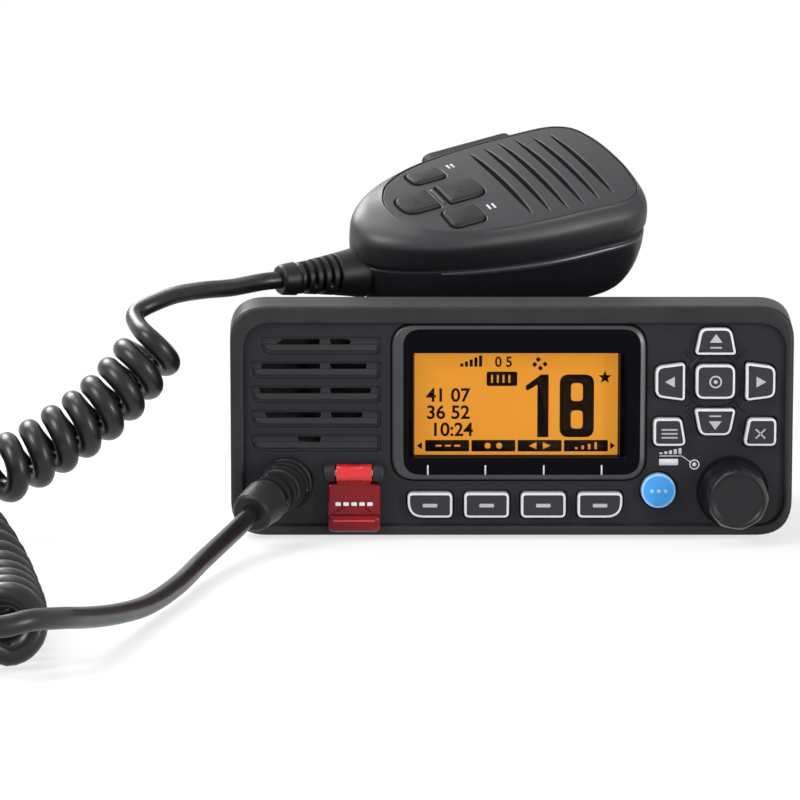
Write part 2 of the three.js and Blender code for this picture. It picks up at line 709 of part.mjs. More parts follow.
// The open upper part of a slot, only where the round speaker lies behind it, split by the grille's rib
function grilleWindows(row) {
  const top = SLOT_TOP - row * SLOT_PITCH;
  const middle = top - SLOT_OPEN / 2 - SPEAKER_Z;
  const reach = Math.sqrt(Math.max(SPEAKER_OPENING ** 2 - middle ** 2, 0));
  const rib = SPEAKER_X + GRILLE_RIB;
  const spans = [[SPEAKER_X - reach, rib - GRILLE_RIB / 2], [rib + GRILLE_RIB / 2, SPEAKER_X + reach]];
  return spans.filter(([left, right]) => right - left > GRILLE_RIB / 2)
    .map(([left, right]) => block(left, right, 0, FACE_BACK + OVERRUN, top - SLOT_OPEN, top));
}

// Key outlines, grown by a margin; each is centred on its own place
function trapezium(x, z, wideTop, wideBottom, height, margin, corner = KEY_CORNER) {
  const low = z - height / 2 - margin;
  const high = z + height / 2 + margin;
  const top = wideTop / 2 + margin;
  const bottom = wideBottom / 2 + margin;
  return roundedPolygon([[x - bottom, low], [x + bottom, low], [x + top, high], [x - top, high]],
    [corner, corner, corner, corner]);
}

function sideKey(direction, margin) {
  const x = NAV_X + direction * NAV_REACH;
  const inner = NAV_SIDE_INNER / 2 + margin;
  const outer = NAV_SIDE_OUTER / 2 + margin;
  const near = x - direction * (NAV_SIDE_WIDTH / 2 + margin);
  const far = x + direction * (NAV_SIDE_WIDTH / 2 + margin);
  const points = [[near, NAV_Z - inner], [far, NAV_Z - outer], [far, NAV_Z + outer], [near, NAV_Z + inner]];
  const corners = [KEY_CORNER, KEY_CORNER, KEY_CORNER, KEY_CORNER];
  return roundedPolygon(direction > 0 ? points : points.reverse(), corners);
}

function menuKey(direction, margin) {
  const x = NAV_X + direction * MENU_REACH;
  const z = NAV_Z - MENU_DROP;
  const half = MENU_WIDTH / 2 + margin;
  const low = z - MENU_HEIGHT / 2 - margin;
  const high = z + MENU_HEIGHT / 2 + margin;
  const near = x - direction * half;
  const far = x + direction * half;
  const points = [[near, low], [far, low], [far, high], [near + direction * MENU_SLANT, high]];
  const corners = [KEY_CORNER, KEY_CORNER, KEY_CORNER, KEY_CORNER];
  return roundedPolygon(direction > 0 ? points : points.reverse(), corners);
}

function softKey(number, margin) {
  const x = SOFT_FIRST_X + number * SOFT_PITCH;
  const half = SOFT_WIDTH / 2 + margin;
  const low = SOFT_Z - SOFT_HEIGHT / 2 - margin;
  const high = SOFT_Z + SOFT_HEIGHT / 2 + margin;
  const radii = [KEY_CORNER, KEY_CORNER, KEY_CORNER, KEY_CORNER];
  if (number === 0) {
    radii[0] = SOFT_SWEEP + margin;
  }
  if (number === SOFT_COUNT - 1) {
    radii[1] = SOFT_SWEEP + margin;
  }
  return roundedPolygon([[x - half, low], [x + half, low], [x + half, high], [x - half, high]], radii);
}

function arrowKey(direction, margin) {
  const [wideTop, wideBottom] = direction > 0 ? [NAV_NARROW, NAV_WIDE] : [NAV_WIDE, NAV_NARROW];
  return trapezium(NAV_X, NAV_Z + direction * NAV_RISE, wideTop, wideBottom, NAV_KEY_HEIGHT, margin);
}

const KEYS = [
  { name: 'key_up', outline: (m) => arrowKey(1, m) },
  { name: 'key_down', outline: (m) => arrowKey(-1, m) },
  { name: 'key_left', outline: (m) => sideKey(-1, m) },
  { name: 'key_right', outline: (m) => sideKey(1, m) },
  { name: 'key_enter', outline: (m) => trapezium(NAV_X, NAV_Z, ENTER_WIDTH, ENTER_WIDTH, ENTER_HEIGHT, m) },
  { name: 'key_menu', outline: (m) => menuKey(-1, m) },
  { name: 'key_clear', outline: (m) => menuKey(1, m) },
  {
    name: 'key_channel',
    outline: (m) => circle(CHANNEL_X, CHANNEL_Z, CHANNEL_RADIUS + m),
    segments: 8,
    colour: 0x3e96dc,
  },
  ...Array.from({ length: SOFT_COUNT }, (_, number) => (
    { name: `soft_key_${number + 1}`, outline: (m) => softKey(number, m) }
  )),
  {
    name: 'distress_key',
    outline: (m) => trapezium(COVER_X, DISTRESS_Z, DISTRESS_WIDTH, DISTRESS_WIDTH, DISTRESS_HEIGHT, m),
    front: FACE - DISTRESS_PROUD,
    colour: 0x8c1418,
  },
].map((key) => ({ segments: 2, front: KEY_FRONT, colour: 0x3c3c3e, ...key }));

// Each key is a cap through the face with a flange behind it
function keyCaps() {
  KEYS.forEach((key) => {
    const cap = prism(key.outline(0), key.front, KEY_BACK, key.segments);
    const flange = prism(key.outline(KEY_FLANGE_RIM), KEY_FLANGE_FRONT, KEY_BACK, key.segments);
    addPiece(key.name, carve([cap, flange]), key.colour, 0.5);
  });
}

// Display window, display and backlight
function display() {
  const front = FACE - LENS_PROUD;
  const back = FACE + LENS_SEAT;
  const ring = (inset, depth) => outlineRing(displayRect(inset, LENS_CORNER - inset), depth, CURVE_SEGMENTS);
  addPiece('display_lens', skin([ring(0, back), ring(0, front + LENS_EDGE / 2), ring(LENS_EDGE, front)]),
    0x0c0c0d, 0.1);
  const screen = [
    LENS_LEFT + LCD_MARGIN, LENS_RIGHT - LCD_MARGIN, LENS_BOTTOM + LCD_MARGIN, LENS_TOP - LCD_MARGIN,
  ];
  const lcdFront = FACE_BACK + GAP;
  const lcdBack = lcdFront + LCD_THICKNESS;
  addPiece('lcd_module', block(screen[0], screen[1], lcdFront, lcdBack, screen[2], screen[3]), 0xd99637, 0.3);
  addPiece('backlight', block(screen[0], screen[1], lcdBack + GAP, lcdBack + GAP + BACKLIGHT_THICKNESS,
    screen[2], screen[3]), 0xe8e4d8, 0.6);
}

// Rubber mat behind the keys, with room for the display and the encoder
function matOutline(margin) {
  const left = MAT_LEFT - margin;
  const right = MAT_RIGHT + margin;
  const low = MAT_BOTTOM - margin;
  const high = MAT_TOP + margin;
  const step = LENS_LEFT - LCD_MARGIN - margin;
  const shelf = MAT_SHELF + margin;
  const points = [[left, low], [right, low], [right, high], [step, high], [step, shelf], [left, shelf]];
  return roundedPolygon(points, Array(points.length).fill(KEY_CORNER));
}

function keyMatAndBoard() {
  const half = ENCODER_SIZE / 2 + GAP;
  const matBack = MAT_FRONT + MAT_THICKNESS;
  const mat = carve([prism(matOutline(0), MAT_FRONT, matBack)], [
    prism(displayRect(LCD_MARGIN - GAP, GAP), MAT_FRONT - OVERRUN, matBack + OVERRUN),
    block(KNOB_X - half, KNOB_X + half, MAT_FRONT - OVERRUN, matBack + OVERRUN, 0, KNOB_Z + half),
  ]);
  addPiece('keypad_mat', mat, 0x55565a, 0.9);
  const board = carve([
    prism(matOutline(BOARD_MARGIN), BOARD_FRONT, BOARD_FRONT + BOARD_THICKNESS),
    ...POST_PLACES.map(([x, z]) => {
      const ear = roundedRect(x - POST_RADIUS, x + POST_RADIUS * 2, z - POST_RADIUS * 2,
        z + POST_RADIUS, GAP);
      return prism(ear, BOARD_FRONT, BOARD_FRONT + BOARD_THICKNESS);
    }),
  ]);
  addPiece('key_board', board, 0x1c5a34, 0.6);
}

// Encoder on the key board, with the push shaft that carries the knob
function encoder() {
  const half = ENCODER_SIZE / 2;
  const front = FACE_BACK + GAP;
  const back = BOARD_FRONT - GAP;
  const rotorFront = front + ENCODER_WALL + GAP;
  addPiece('encoder_body', carve(
    [block(KNOB_X - half, KNOB_X + half, front, back, KNOB_Z - half, KNOB_Z + half)],
    [
      disc(KNOB_X, KNOB_Z, SHAFT_RADIUS + GAP, front - OVERRUN, back + OVERRUN),
      disc(KNOB_X, KNOB_Z, ROTOR_RADIUS + GAP, front + ENCODER_WALL, back + OVERRUN),
    ],
  ), 0x2f3033, 0.5);
  const hub = SHAFT_RADIUS + GAP;
  addPiece('encoder_rotor', closed(turned([
    [hub, rotorFront], [ROTOR_RADIUS, rotorFront], [ROTOR_RADIUS, rotorFront + ROTOR_DEPTH],
    [hub, rotorFront + ROTOR_DEPTH], [hub, rotorFront],
  ], KNOB_X, KNOB_Z)), 0xc8c8cc, 0.4);
  const knobFront = -KNOB_REACH;
  const boreEnd = FACE - KNOB_BACK - KNOB_BORE_DEPTH;
  addPiece('encoder_shaft', closed(disc(KNOB_X, KNOB_Z, SHAFT_RADIUS, boreEnd + GAP,
    BOARD_FRONT - GAP - PUSH_TRAVEL)), 0xb8bac0, 0.3, 0.9);
  addPiece('volume_knob', knob(knobFront, boreEnd), 0x1d1d20, 0.5);
}

function knob(front, boreEnd) {
  const back = FACE - KNOB_BACK;
  const lobed = (radius, depth) => {
    const count = KNOB_LOBES * 4;
    return Array.from({ length: count }, (_, i) => {
      const angle = (i / count) * FULL_TURN;
      const reach = radius + KNOB_LOBE * Math.cos(angle * KNOB_LOBES);
      const x = KNOB_X + reach * Math.cos(angle);
      return new THREE.Vector3(x, FRONT_Y + depth, KNOB_Z + reach * Math.sin(angle));
    });
  };
  const cap = skin([
    lobed(KNOB_RADIUS, back - KNOB_SKIRT / 2), lobed(KNOB_RADIUS - KNOB_LOBE, front + KNOB_EDGE),
    lobed(KNOB_RADIUS - KNOB_EDGE, front),
  ]);
  const skirt = turned([
    [0, back], [KNOB_SKIRT_RADIUS, back], [KNOB_SKIRT_RADIUS, back - KNOB_SKIRT / 3],
    [KNOB_RADIUS, back - KNOB_SKIRT], [0, back - KNOB_SKIRT],
  ], KNOB_X, KNOB_Z);
  return carve([cap, skirt], [disc(KNOB_X, KNOB_Z, SHAFT_RADIUS + GAP, boreEnd, back + OVERRUN)]);
}

// Distress cover: a shallow tray with a finger lip, hung from two barrels on a pin
function distressCover() {
  const front = FACE - COVER_PROUD;
  const back = FACE - GAP;
  const left = COVER_X - COVER_WIDTH / 2;
  const right = COVER_X + COVER_WIDTH / 2;
  const tray = prism(roundedRect(left, right, COVER_BOTTOM, COVER_TOP, COVER_CORNER), front, back);
  const lip = prism(roundedRect(left, right, COVER_BOTTOM, COVER_BOTTOM + COVER_LIP, COVER_CORNER),
    front - COVER_LIP_STEP, back);
  const neck = block(COVER_X - BARREL_WIDTH / 2, COVER_X + BARREL_WIDTH / 2, HINGE_DEPTH - COVER_WALL / 2,
    HINGE_DEPTH + COVER_WALL / 2, COVER_TOP - COVER_WALL, HINGE_Z);
  const inside = roundedRect(left + COVER_WALL, right - COVER_WALL, COVER_BOTTOM + COVER_WALL,
    COVER_TOP - COVER_WALL, COVER_CORNER / 2);
  const cover = carve([tray, lip, hingeRound(HINGE_RADIUS, BARREL_WIDTH), neck], [
    prism(inside, front + COVER_WALL, back + OVERRUN),
    hingeRound(HINGE_PIN_RADIUS + GAP, BARREL_WIDTH + OVERRUN),
    hingeRound(HINGE_RADIUS + GAP, SPRING_WIDTH),
  ]);
  addPiece('distress_cover', cover, 0x9c1a20, 0.2);
  addPiece('cover_hinge_pin', closed(hingeRound(HINGE_PIN_RADIUS, HINGE_SPAN)), 0xc0c0c4, 0.3, 1);
  const inner = HINGE_PIN_RADIUS + GAP;
  const half = SPRING_WIDTH / 2 - GAP;
  const corners = [
    [inner, -half], [SPRING_RADIUS, -half], [SPRING_RADIUS, half], [inner, half], [inner, -half],
  ];
  const sleeve = new THREE.LatheGeometry(corners.map((point) => new THREE.Vector2(...point)), PEG_SEGMENTS);
  sleeve.rotateZ(QUARTER_TURN).translate(COVER_X, FRONT_Y + HINGE_DEPTH, HINGE_Z);
  addPiece('cover_spring', closed(sleeve), 0xa8a8ac, 0.35, 1);
}

// Speaker: frame, cone and magnet behind the grille
function speaker() {
  const front = FACE_BACK + GAP;
  const flangeBack = front + SPEAKER_FLANGE;
  const end = front + SPEAKER_DEPTH;
  const wall = SPEAKER_FLANGE;
  const rim = CONE_RADIUS + GAP;
  addPiece('speaker_frame', closed(turned([
    [rim, front], [SPEAKER_RADIUS, front], [SPEAKER_RADIUS, flangeBack], [rim + wall, flangeBack],
    [MAGNET_RADIUS, end], [0, end], [0, end - wall], [MAGNET_RADIUS - wall, end - wall], [rim, flangeBack],
    [rim, front],
  ], SPEAKER_X, SPEAKER_Z)), 0x6a6c70, 0.5, 0.6);
  const throat = MAGNET_RADIUS / 2;
  const floor = end - wall - GAP * 2;
  addPiece('speaker_cone', closed(turned([
    [0, floor - CONE_WALL * 2], [throat, floor - CONE_WALL], [CONE_RADIUS - wall, front + CONE_WALL / 2],
    [CONE_RADIUS, front], [CONE_RADIUS, front + CONE_WALL], [throat, floor], [0, floor - CONE_WALL],
  ], SPEAKER_X, SPEAKER_Z)), 0x262628, 0.9);
  const magnet = disc(SPEAKER_X, SPEAKER_Z, MAGNET_RADIUS, end + GAP, end + GAP + MAGNET_DEPTH);
  addPiece('speaker_magnet', closed(magnet), 0x4a4b4e, 0.4, 0.7);
}

// Outline that the chassis flange and the gasket share
function flangeOutline() {
  const side = PANEL_WIDTH / 2 - FLANGE_INSET;
  return roundedRect(-side, side, FLANGE_INSET, PANEL_HEIGHT - FLANGE_INSET, PANEL_CORNER - FLANGE_INSET);
}

// Chassis: cast box with flange, fins and feet, and what is fastened to it
function chassis() {
  const half = CHASSIS_WIDTH / 2;
  const solids = [
    prism(flangeOutline(), FLANGE_FRONT, FLANGE_BACK),
    block(-half, half, FLANGE_FRONT, CHASSIS_END, CHASSIS_BOTTOM, CHASSIS_TOP),
    ...[-1, 1].map((side) => {
      const x = side * FOOT_SPREAD / 2;
      return block(x - FOOT_WIDTH / 2, x + FOOT_WIDTH / 2, FLANGE_FRONT, CHASSIS_END, 0,
        CHASSIS_BOTTOM + OVERRUN);
    }),
    ...Array.from({ length: FIN_COUNT }, (_, i) => {
      const x = FIN_THICKNESS / 2 - half + (i / (FIN_COUNT - 1)) * (CHASSIS_WIDTH - FIN_THICKNESS);
      return block(x - FIN_THICKNESS / 2, x + FIN_THICKNESS / 2, CHASSIS_END - OVERRUN, FIN_END,
        FIN_BOTTOM, FIN_TOP);
    }),
  ];
  let body = joined(solids).subtract(toSolid(block(CHASSIS_WALL - half, half - CHASSIS_WALL,
    FLANGE_FRONT - OVERRUN, CHASSIS_INNER_END, CHASSIS_BOTTOM + CHASSIS_WALL, CHASSIS_TOP - CHASSIS_WALL)));
  const bossStart = half - INSERT_LENGTH - CHASSIS_WALL / 3;
  const bosses = [
    ...STANDOFF_PLACES.map(([x, depth]) => standoff(x, depth)),
    ...[-1, 1].map((side) => sideRound(side, INSERT_RADIUS + CHASSIS_WALL - GAP, bossStart, half - OVERRUN)),
    ...[-1, 1].map((side) => (
      sideRound(side, BRACKET_PAD_RADIUS, half - OVERRUN, half + BRACKET_PAD_PROUD, PAD_SEGMENTS)
    )),
  ];
  body = bosses.reduce((sum, piece) => sum.add(toSolid(piece)), body);
  const holes = [
    disc(SOCKET_X, REAR_Z, SOCKET_STUB_RADIUS + GAP, CHASSIS_INNER_END - OVERRUN, CHASSIS_END + OVERRUN),
    disc(POWER_X, REAR_Z, POWER_RADIUS + GAP, CHASSIS_INNER_END - OVERRUN, CHASSIS_END + OVERRUN),
    disc(ACCESSORY_X, REAR_Z, ACCESSORY_RADIUS + GAP, CHASSIS_INNER_END - OVERRUN, CHASSIS_END + OVERRUN),
    ...screwDiscs(SCREW_SHANK + GAP, FLANGE_FRONT - OVERRUN, FLANGE_BACK + OVERRUN),
    ...[-1, 1].map((side) => (
      sideRound(side, INSERT_RADIUS + GAP, half - INSERT_LENGTH - GAP, half + BRACKET_PAD_PROUD + OVERRUN)
    )),
  ];
  body = holes.reduce((rest, hole) => rest.subtract(toSolid(hole)), body);
  addPiece('chassis', toGeometry(body), 0x26272a, 0.6, 0.4);
}

// Cylinder along X on one side of the radio, between two distances from its middle
function sideRound(side, radius, from, to, segments = BORE_SEGMENTS) {
  const geometry = new THREE.CylinderGeometry(radius, radius, to - from, segments);
  return geometry.rotateZ(QUARTER_TURN).translate(side * (from + to) / 2, FRONT_Y + INSERT_DEPTH, INSERT_Z);
}

function standoff(x, depth) {
  const floor = CHASSIS_BOTTOM + CHASSIS_WALL;
  const height = STANDOFF_HEIGHT + OVERRUN;
  const geometry = new THREE.CylinderGeometry(STANDOFF_RADIUS, STANDOFF_RADIUS, height, PEG_SEGMENTS);
  return geometry.rotateX(QUARTER_TURN).translate(x, FRONT_Y + depth, floor - OVERRUN + height / 2);
}

const STANDOFF_PLACES = [-1, 1].flatMap((side) => [MAIN_BOARD_START, MAIN_BOARD_END].map((depth, i) => [
  side * (MAIN_BOARD_WIDTH / 2 - STANDOFF_RADIUS),
  depth + (i === 0 ? STANDOFF_RADIUS : -STANDOFF_RADIUS),
]));
const SCREW_SEAT = FLANGE_BACK + GAP;
const SCREW_TIP = SCREW_SEAT - SCREW_LENGTH;

function gasketAndScrews() {
  const half = CHASSIS_WIDTH / 2 - CHASSIS_WALL;
  const gasketBack = GASKET_FRONT + GASKET_THICKNESS;
  const inner = block(-half, half, GASKET_FRONT - OVERRUN, gasketBack + OVERRUN,
    CHASSIS_BOTTOM + CHASSIS_WALL, CHASSIS_TOP - CHASSIS_WALL);
  const gasket = carve([prism(flangeOutline(), GASKET_FRONT, gasketBack)], [
    inner,
    ...screwDiscs(SCREW_SHANK + GAP, GASKET_FRONT - OVERRUN, gasketBack + OVERRUN),
  ]);
  addPiece('panel_gasket', gasket, 0x1a1a1b, 0.95);
  SCREW_PLACES.forEach(([x, z], i) => {
    const screw = turned([
      [0, SCREW_TIP], [SCREW_SHANK, SCREW_TIP], [SCREW_SHANK, SCREW_SEAT], [SCREW_HEAD, SCREW_SEAT],
      [SCREW_HEAD, SCREW_SEAT + SCREW_HEAD_HEIGHT], [0, SCREW_SEAT + SCREW_HEAD_HEIGHT],
    ], x, z, PEG_SEGMENTS);
    addPiece(`case_screw_${i + 1}`, closed(screw), 0xb9bbc0, 0.3, 1);
  });
  [-1, 1].forEach((side) => {
    const outside = CHASSIS_WIDTH / 2 - INSERT_RECESS;
    const inside = CHASSIS_WIDTH / 2 - INSERT_LENGTH;
    const insert = carve([sideRound(side, INSERT_RADIUS, inside, outside)],
      [sideRound(side, INSERT_BORE, inside - OVERRUN, outside + OVERRUN)]);
    addPiece(side < 0 ? 'bracket_insert_left' : 'bracket_insert_right', insert, 0xb08d4a, 0.3, 1);
  });
}

// Main board on its standoffs, shield can, and amplifier module against the finned wall
function electronics() {
  const boardLow = CHASSIS_BOTTOM + CHASSIS_WALL + STANDOFF_HEIGHT + GAP;
  const boardHigh = boardLow + BOARD_THICKNESS;
  const boardSide = MAIN_BOARD_WIDTH / 2;
  const board = block(-boardSide, boardSide, MAIN_BOARD_START, MAIN_BOARD_END, boardLow, boardHigh);
  addPiece('main_board', board, 0x1c5a34, 0.6);
  const canLow = boardHigh + GAP;
  const left = CAN_X - CAN_WIDTH / 2;
  const right = CAN_X + CAN_WIDTH / 2;
  addPiece('shield_can', carve([block(left, right, CAN_START, CAN_END, canLow, canLow + CAN_HEIGHT)], [
    block(left + CAN_WALL, right - CAN_WALL, CAN_START + CAN_WALL, CAN_END - CAN_WALL, canLow - OVERRUN,
      canLow + CAN_HEIGHT - CAN_WALL),
  ]), 0xc4c6ca, 0.35, 0.9);
  const moduleBack = CHASSIS_INNER_END - GAP;
  addPiece('amplifier_module', block(MODULE_X - MODULE_WIDTH / 2, MODULE_X + MODULE_WIDTH / 2,
    moduleBack - MODULE_DEPTH, moduleBack, MODULE_BOTTOM, MODULE_BOTTOM + MODULE_HEIGHT), 0x35363a, 0.5, 0.3);
}

// Antenna socket and the two lead glands on the rear wall
function rearFittings() {
  const seat = CHASSIS_END + GAP;
  const end = OVERALL_DEPTH;
  const inner = SOCKET_RADIUS - SOCKET_LIP;
  const flangeBack = seat + SOCKET_FLANGE;
  addPiece('antenna_socket', closed(turned([
    [0, seat - SOCKET_STUB], [SOCKET_STUB_RADIUS, seat - SOCKET_STUB], [SOCKET_STUB_RADIUS, seat],
    [SOCKET_FLANGE_RADIUS, seat], [SOCKET_FLANGE_RADIUS, flangeBack], [SOCKET_RADIUS, flangeBack],
    [SOCKET_RADIUS, end], [inner, end], [inner, end - SOCKET_RECESS], [SOCKET_PIN_BORE, end - SOCKET_RECESS],
    [SOCKET_PIN_BORE, end - SOCKET_PIN_DEPTH], [0, end - SOCKET_PIN_DEPTH],
  ], SOCKET_X, REAR_Z)), 0xc9cace, 0.25, 1);
  gland('power_gland', POWER_X, POWER_RADIUS, POWER_FLANGE_RADIUS, POWER_BORE, POWER_LENGTH);
  gland('accessory_gland', ACCESSORY_X, ACCESSORY_RADIUS, ACCESSORY_FLANGE_RADIUS, ACCESSORY_BORE,
    ACCESSORY_LENGTH);
}

function gland(name, x, radius, flangeRadius, bore, length) {
  const seat = CHASSIS_END + GAP;
  const tipRadius = (radius + bore) / 2;
  addPiece(name, closed(turned([
    [bore, seat - GLAND_STUB], [radius, seat - GLAND_STUB], [radius, seat], [flangeRadius, seat],
    [flangeRadius, seat + GLAND_FLANGE], [radius, seat + GLAND_FLANGE], [tipRadius, seat + length],
    [bore, seat + length], [bore, seat - GLAND_STUB],
  ], x, REAR_Z)), 0x1c1c1e, 0.9);
}

// Microphone shells are skins through outlines that change with depth
function micOutline(widthShare, cordShare, headShare, wall, faceShare) {
  const low = MIC_CORD_END + cordShare * MIC_HALF_WIDTH + wall;
  const high = MIC_HEAD_END - headShare * MIC_HALF_WIDTH - wall;
  const half = MIC_HALF_WIDTH * widthShare - wall;
  const side = MIC_OUTLINE_SHARES.map(([along, across], i) => {
    const [faceAlong, faceAcross] = MIC_FACE_SHARES[i];
    const x = along + (faceAlong - along) * faceShare;
    const y = across + (faceAcross - across) * faceShare;
    return [(low + high) / 2 + x * (high - low) / 2, y * half];
  });
  const other = side.slice(1, -1).reverse().map(([x, y]) => [x, -y]);
  return [...side, ...other];
}

function micSkin(levels, start, end, wall, tapered) {
  const middle = (MIC_CORD_END + MIC_HEAD_END) / 2;
  const draw = wall > 0 ? MIC_INNER_DRAW_SHARE : 1;
  return skin(levels.map(([depthShare, widthShare, cordShare, headShare]) => {
    const outline = micOutline(widthShare, cordShare * draw, headShare, wall, tapered ? 0 : 1 - depthShare);
    return outline.map(([x, y]) => {
      const slope = tapered ? depthShare * MIC_BACK_SLOPE * (x - middle) : 0;
      return new THREE.Vector3(x, y, -(start + depthShare * (end - start) + slope));
    });
  }));
}

function micPrism(shape, top, bottom, segments = CURVE_SEGMENTS) {
  const geometry = new THREE.ExtrudeGeometry(shape, {
    depth: top - bottom,
    bevelEnabled: false,
    curveSegments: segments,
  });
  return geometry.translate(0, 0, bottom);
}

// A sound slot is widest in the middle and pointed at its ends
function micSlot(number) {
  const x = MIC_SLOT_FIRST + number * MIC_SLOT_PITCH;
  const offCentre = Math.abs(number - (MIC_SLOT_COUNT - 1) / 2);
  const half = MIC_SLOT_LENGTH / 2 - MIC_SLOT_SHORTER * offCentre;
  const wide = MIC_SLOT_WIDTH / 2;
  const right = [[x, -half], [x + wide, -half / 2], [x + wide, half / 2]];
  const left = [[x, half], [x - wide, half / 2], [x - wide, -half / 2]];
  return roundedPolygon([...right, ...left], Array(6).fill(MIC_SLOT_WIDTH / 8));
}

function micPad(from, to, roundStart, margin) {
  const half = MIC_PAD_HALF + margin;
  const low = from - margin;
  const high = to + margin;
  const round = MIC_PAD_HALF * MIC_PAD_ROUND_SHARE;
  const tight = KEY_CORNER / 2;
  const radii = roundStart ? [round, tight, tight, round] : [tight, round, round, tight];
  return roundedPolygon([[low, -half], [high, -half], [high, half], [low, half]], radii);
}

function micSquare([x, y], width, margin) {
  const long = MIC_KEY_LENGTH / 2 + margin;
  const half = width / 2 + margin;
  return roundedRect(x - long, x + long, y - half, y + half, MIC_KEY_CORNER);
}

const MIC_KEYS = [
  { name: 'mic_key_down', outline: (m) => micPad(MIC_PAD_LOW, MIC_PAD_SPLIT, true, m) },
  { name: 'mic_key_up', outline: (m) => micPad(MIC_PAD_RESUME, MIC_PAD_HIGH, false, m) },
  { name: 'mic_key_power', outline: (m) => micSquare(MIC_KEY_A, MIC_KEY_A_WIDTH, m) },
  { name: 'mic_key_call', outline: (m) => micSquare(MIC_KEY_B, MIC_KEY_B_WIDTH, m) },
];
const MIC_FLANGE_TOP = -MIC_WALL - GAP;
const MIC_FLANGE_BOTTOM = MIC_FLANGE_TOP - MIC_KEY_FLANGE;
const MIC_BOARD_TOP = MIC_FLANGE_BOTTOM - MIC_KEY_TRAVEL - GAP;
const MIC_POST_PLACES = [
  [MIC_BOARD_END - MIC_POST_RADIUS, 0],
  [MIC_BOARD_END - MIC_POST_RADIUS, MIC_BOARD_WIDTH / 2 - MIC_POST_RADIUS * 2],
  [MIC_BOARD_END - MIC_POST_RADIUS, MIC_POST_RADIUS * 2 - MIC_BOARD_WIDTH / 2],
];

function pttBox(margin, inner, outer) {
  const shape = roundedRect(PTT_START - margin, PTT_END + margin, -PTT_BOTTOM - margin, -PTT_TOP + margin,
    PTT_CORNER + margin);
  const geometry = new THREE.ExtrudeGeometry(shape, {
    depth: outer - inner,
    bevelEnabled: false,
    curveSegments: CURVE_SEGMENTS,
  });
  return geometry.rotateX(QUARTER_TURN).translate(0, outer, 0);
}

function microphone() {
  const wall = MIC_WALL;
  const pttOuter = MIC_HALF_WIDTH + PTT_PROUD;
  const pttInner = MIC_HALF_WIDTH - PTT_INWARD;
  const window = toSolid(pttBox(GAP, pttInner, pttOuter + OVERRUN));
  const posts = MIC_POST_PLACES.map(([x, y]) => micPrism(circle(x, y, MIC_POST_RADIUS), -wall + GAP,
    MIC_BOARD_TOP + GAP, 2));
  let front = toSolid(micSkin(MIC_FRONT_SHARES, 0, MIC_SPLIT, 0, false))
    .subtract(toSolid(micSkin(MIC_FRONT_SHARES, wall, MIC_SPLIT + OVERRUN, wall, false)));
  front = posts.reduce((sum, post) => sum.add(toSolid(post)), front);
  MIC_KEYS.forEach((key) => {
    front = front.subtract(toSolid(micPrism(key.outline(GAP), OVERRUN, -wall - GAP, 2)));
  });
  for (let i = 0; i < MIC_SLOT_COUNT; i += 1) {
    front = front.subtract(toSolid(micPrism(micSlot(i), OVERRUN, -wall - GAP, 1)));
  }
  addPiece('mic_front_shell', toGeometry(front.subtract(window)), 0x3a3a3e, 0.45, 0, mic);

  const rearTop = MIC_SPLIT + GAP;
  const rear = toSolid(micSkin(MIC_REAR_SHARES, rearTop, MIC_THICKNESS, 0, true))
    .subtract(toSolid(micSkin(MIC_REAR_SHARES, rearTop - GAP, MIC_THICKNESS - wall, wall, true)))
    .subtract(window);
  addPiece('mic_rear_shell', toGeometry(rear), 0x26262a, 0.5, 0, mic);

  MIC_KEYS.forEach((key) => {
    const cap = micPrism(key.outline(0), MIC_KEY_PROUD, MIC_FLANGE_BOTTOM, 2);
    const flange = micPrism(key.outline(MIC_KEY_RIM), MIC_FLANGE_TOP, MIC_FLANGE_BOTTOM, 2);
    addPiece(key.name, carve([cap, flange]), 0x2e2e32, 0.6, 0, mic);
  });
  addPiece('mic_ptt', closed(pttBox(0, pttInner, pttOuter)), 0x1e1e20, 0.6, 0, mic);

  const board = roundedPolygon([
    [MIC_BOARD_START, -MIC_BOARD_NARROW / 2], [MIC_BOARD_END, -MIC_BOARD_WIDTH / 2],
    [MIC_BOARD_END, MIC_BOARD_WIDTH / 2], [MIC_BOARD_START, MIC_BOARD_NARROW / 2],
  ], Array(4).fill(MIC_POST_RADIUS));
  const boardSolid = micPrism(board, MIC_BOARD_TOP, MIC_BOARD_TOP - MIC_BOARD_THICKNESS, 1);
  addPiece('mic_board', closed(boardSolid), 0x1c5a34, 0.6, 0, mic);
  const capsule = new THREE.CylinderGeometry(CAPSULE_RADIUS, CAPSULE_RADIUS, CAPSULE_LENGTH, ROUND_SEGMENTS);
  capsule.rotateX(QUARTER_TURN).translate(CAPSULE_X, 0, -wall - GAP - CAPSULE_LENGTH / 2);
  addPiece('mic_capsule', closed(capsule), 0xb4b6ba, 0.4, 0.8, mic);
}

// Hang-up stud: a button on a neck, square to the sloping back
function hangStud() {
  const group = studFrame();
  const profile = [
    [0, 0], [STUD_RADIUS, 0], [STUD_RADIUS, STUD_HEAD], [STUD_NECK_RADIUS, STUD_HEAD + GAP],
    [STUD_NECK_RADIUS, STUD_LENGTH - GAP], [0, STUD_LENGTH - GAP],
  ];
  const stud = new THREE.LatheGeometry(profile.map((point) => new THREE.Vector2(...point)), ROUND_SEGMENTS);
  stud.rotateX(QUARTER_TURN).translate(0, 0, -STUD_LENGTH);
  mic.add(group);
  addPiece('mic_hang_stud', closed(stud), 0x1c1c1e, 0.5, 0, group);
}

// Frame on the microphone's back, whose +Z points into the microphone
function studFrame() {
  const group = new THREE.Group();
  const middle = (MIC_CORD_END + MIC_HEAD_END) / 2;
  group.position.set(STUD_X, 0, -(MIC_THICKNESS + MIC_BACK_SLOPE * (STUD_X - middle)));
  group.rotation.y = Math.atan(MIC_BACK_SLOPE);
  return group;
}

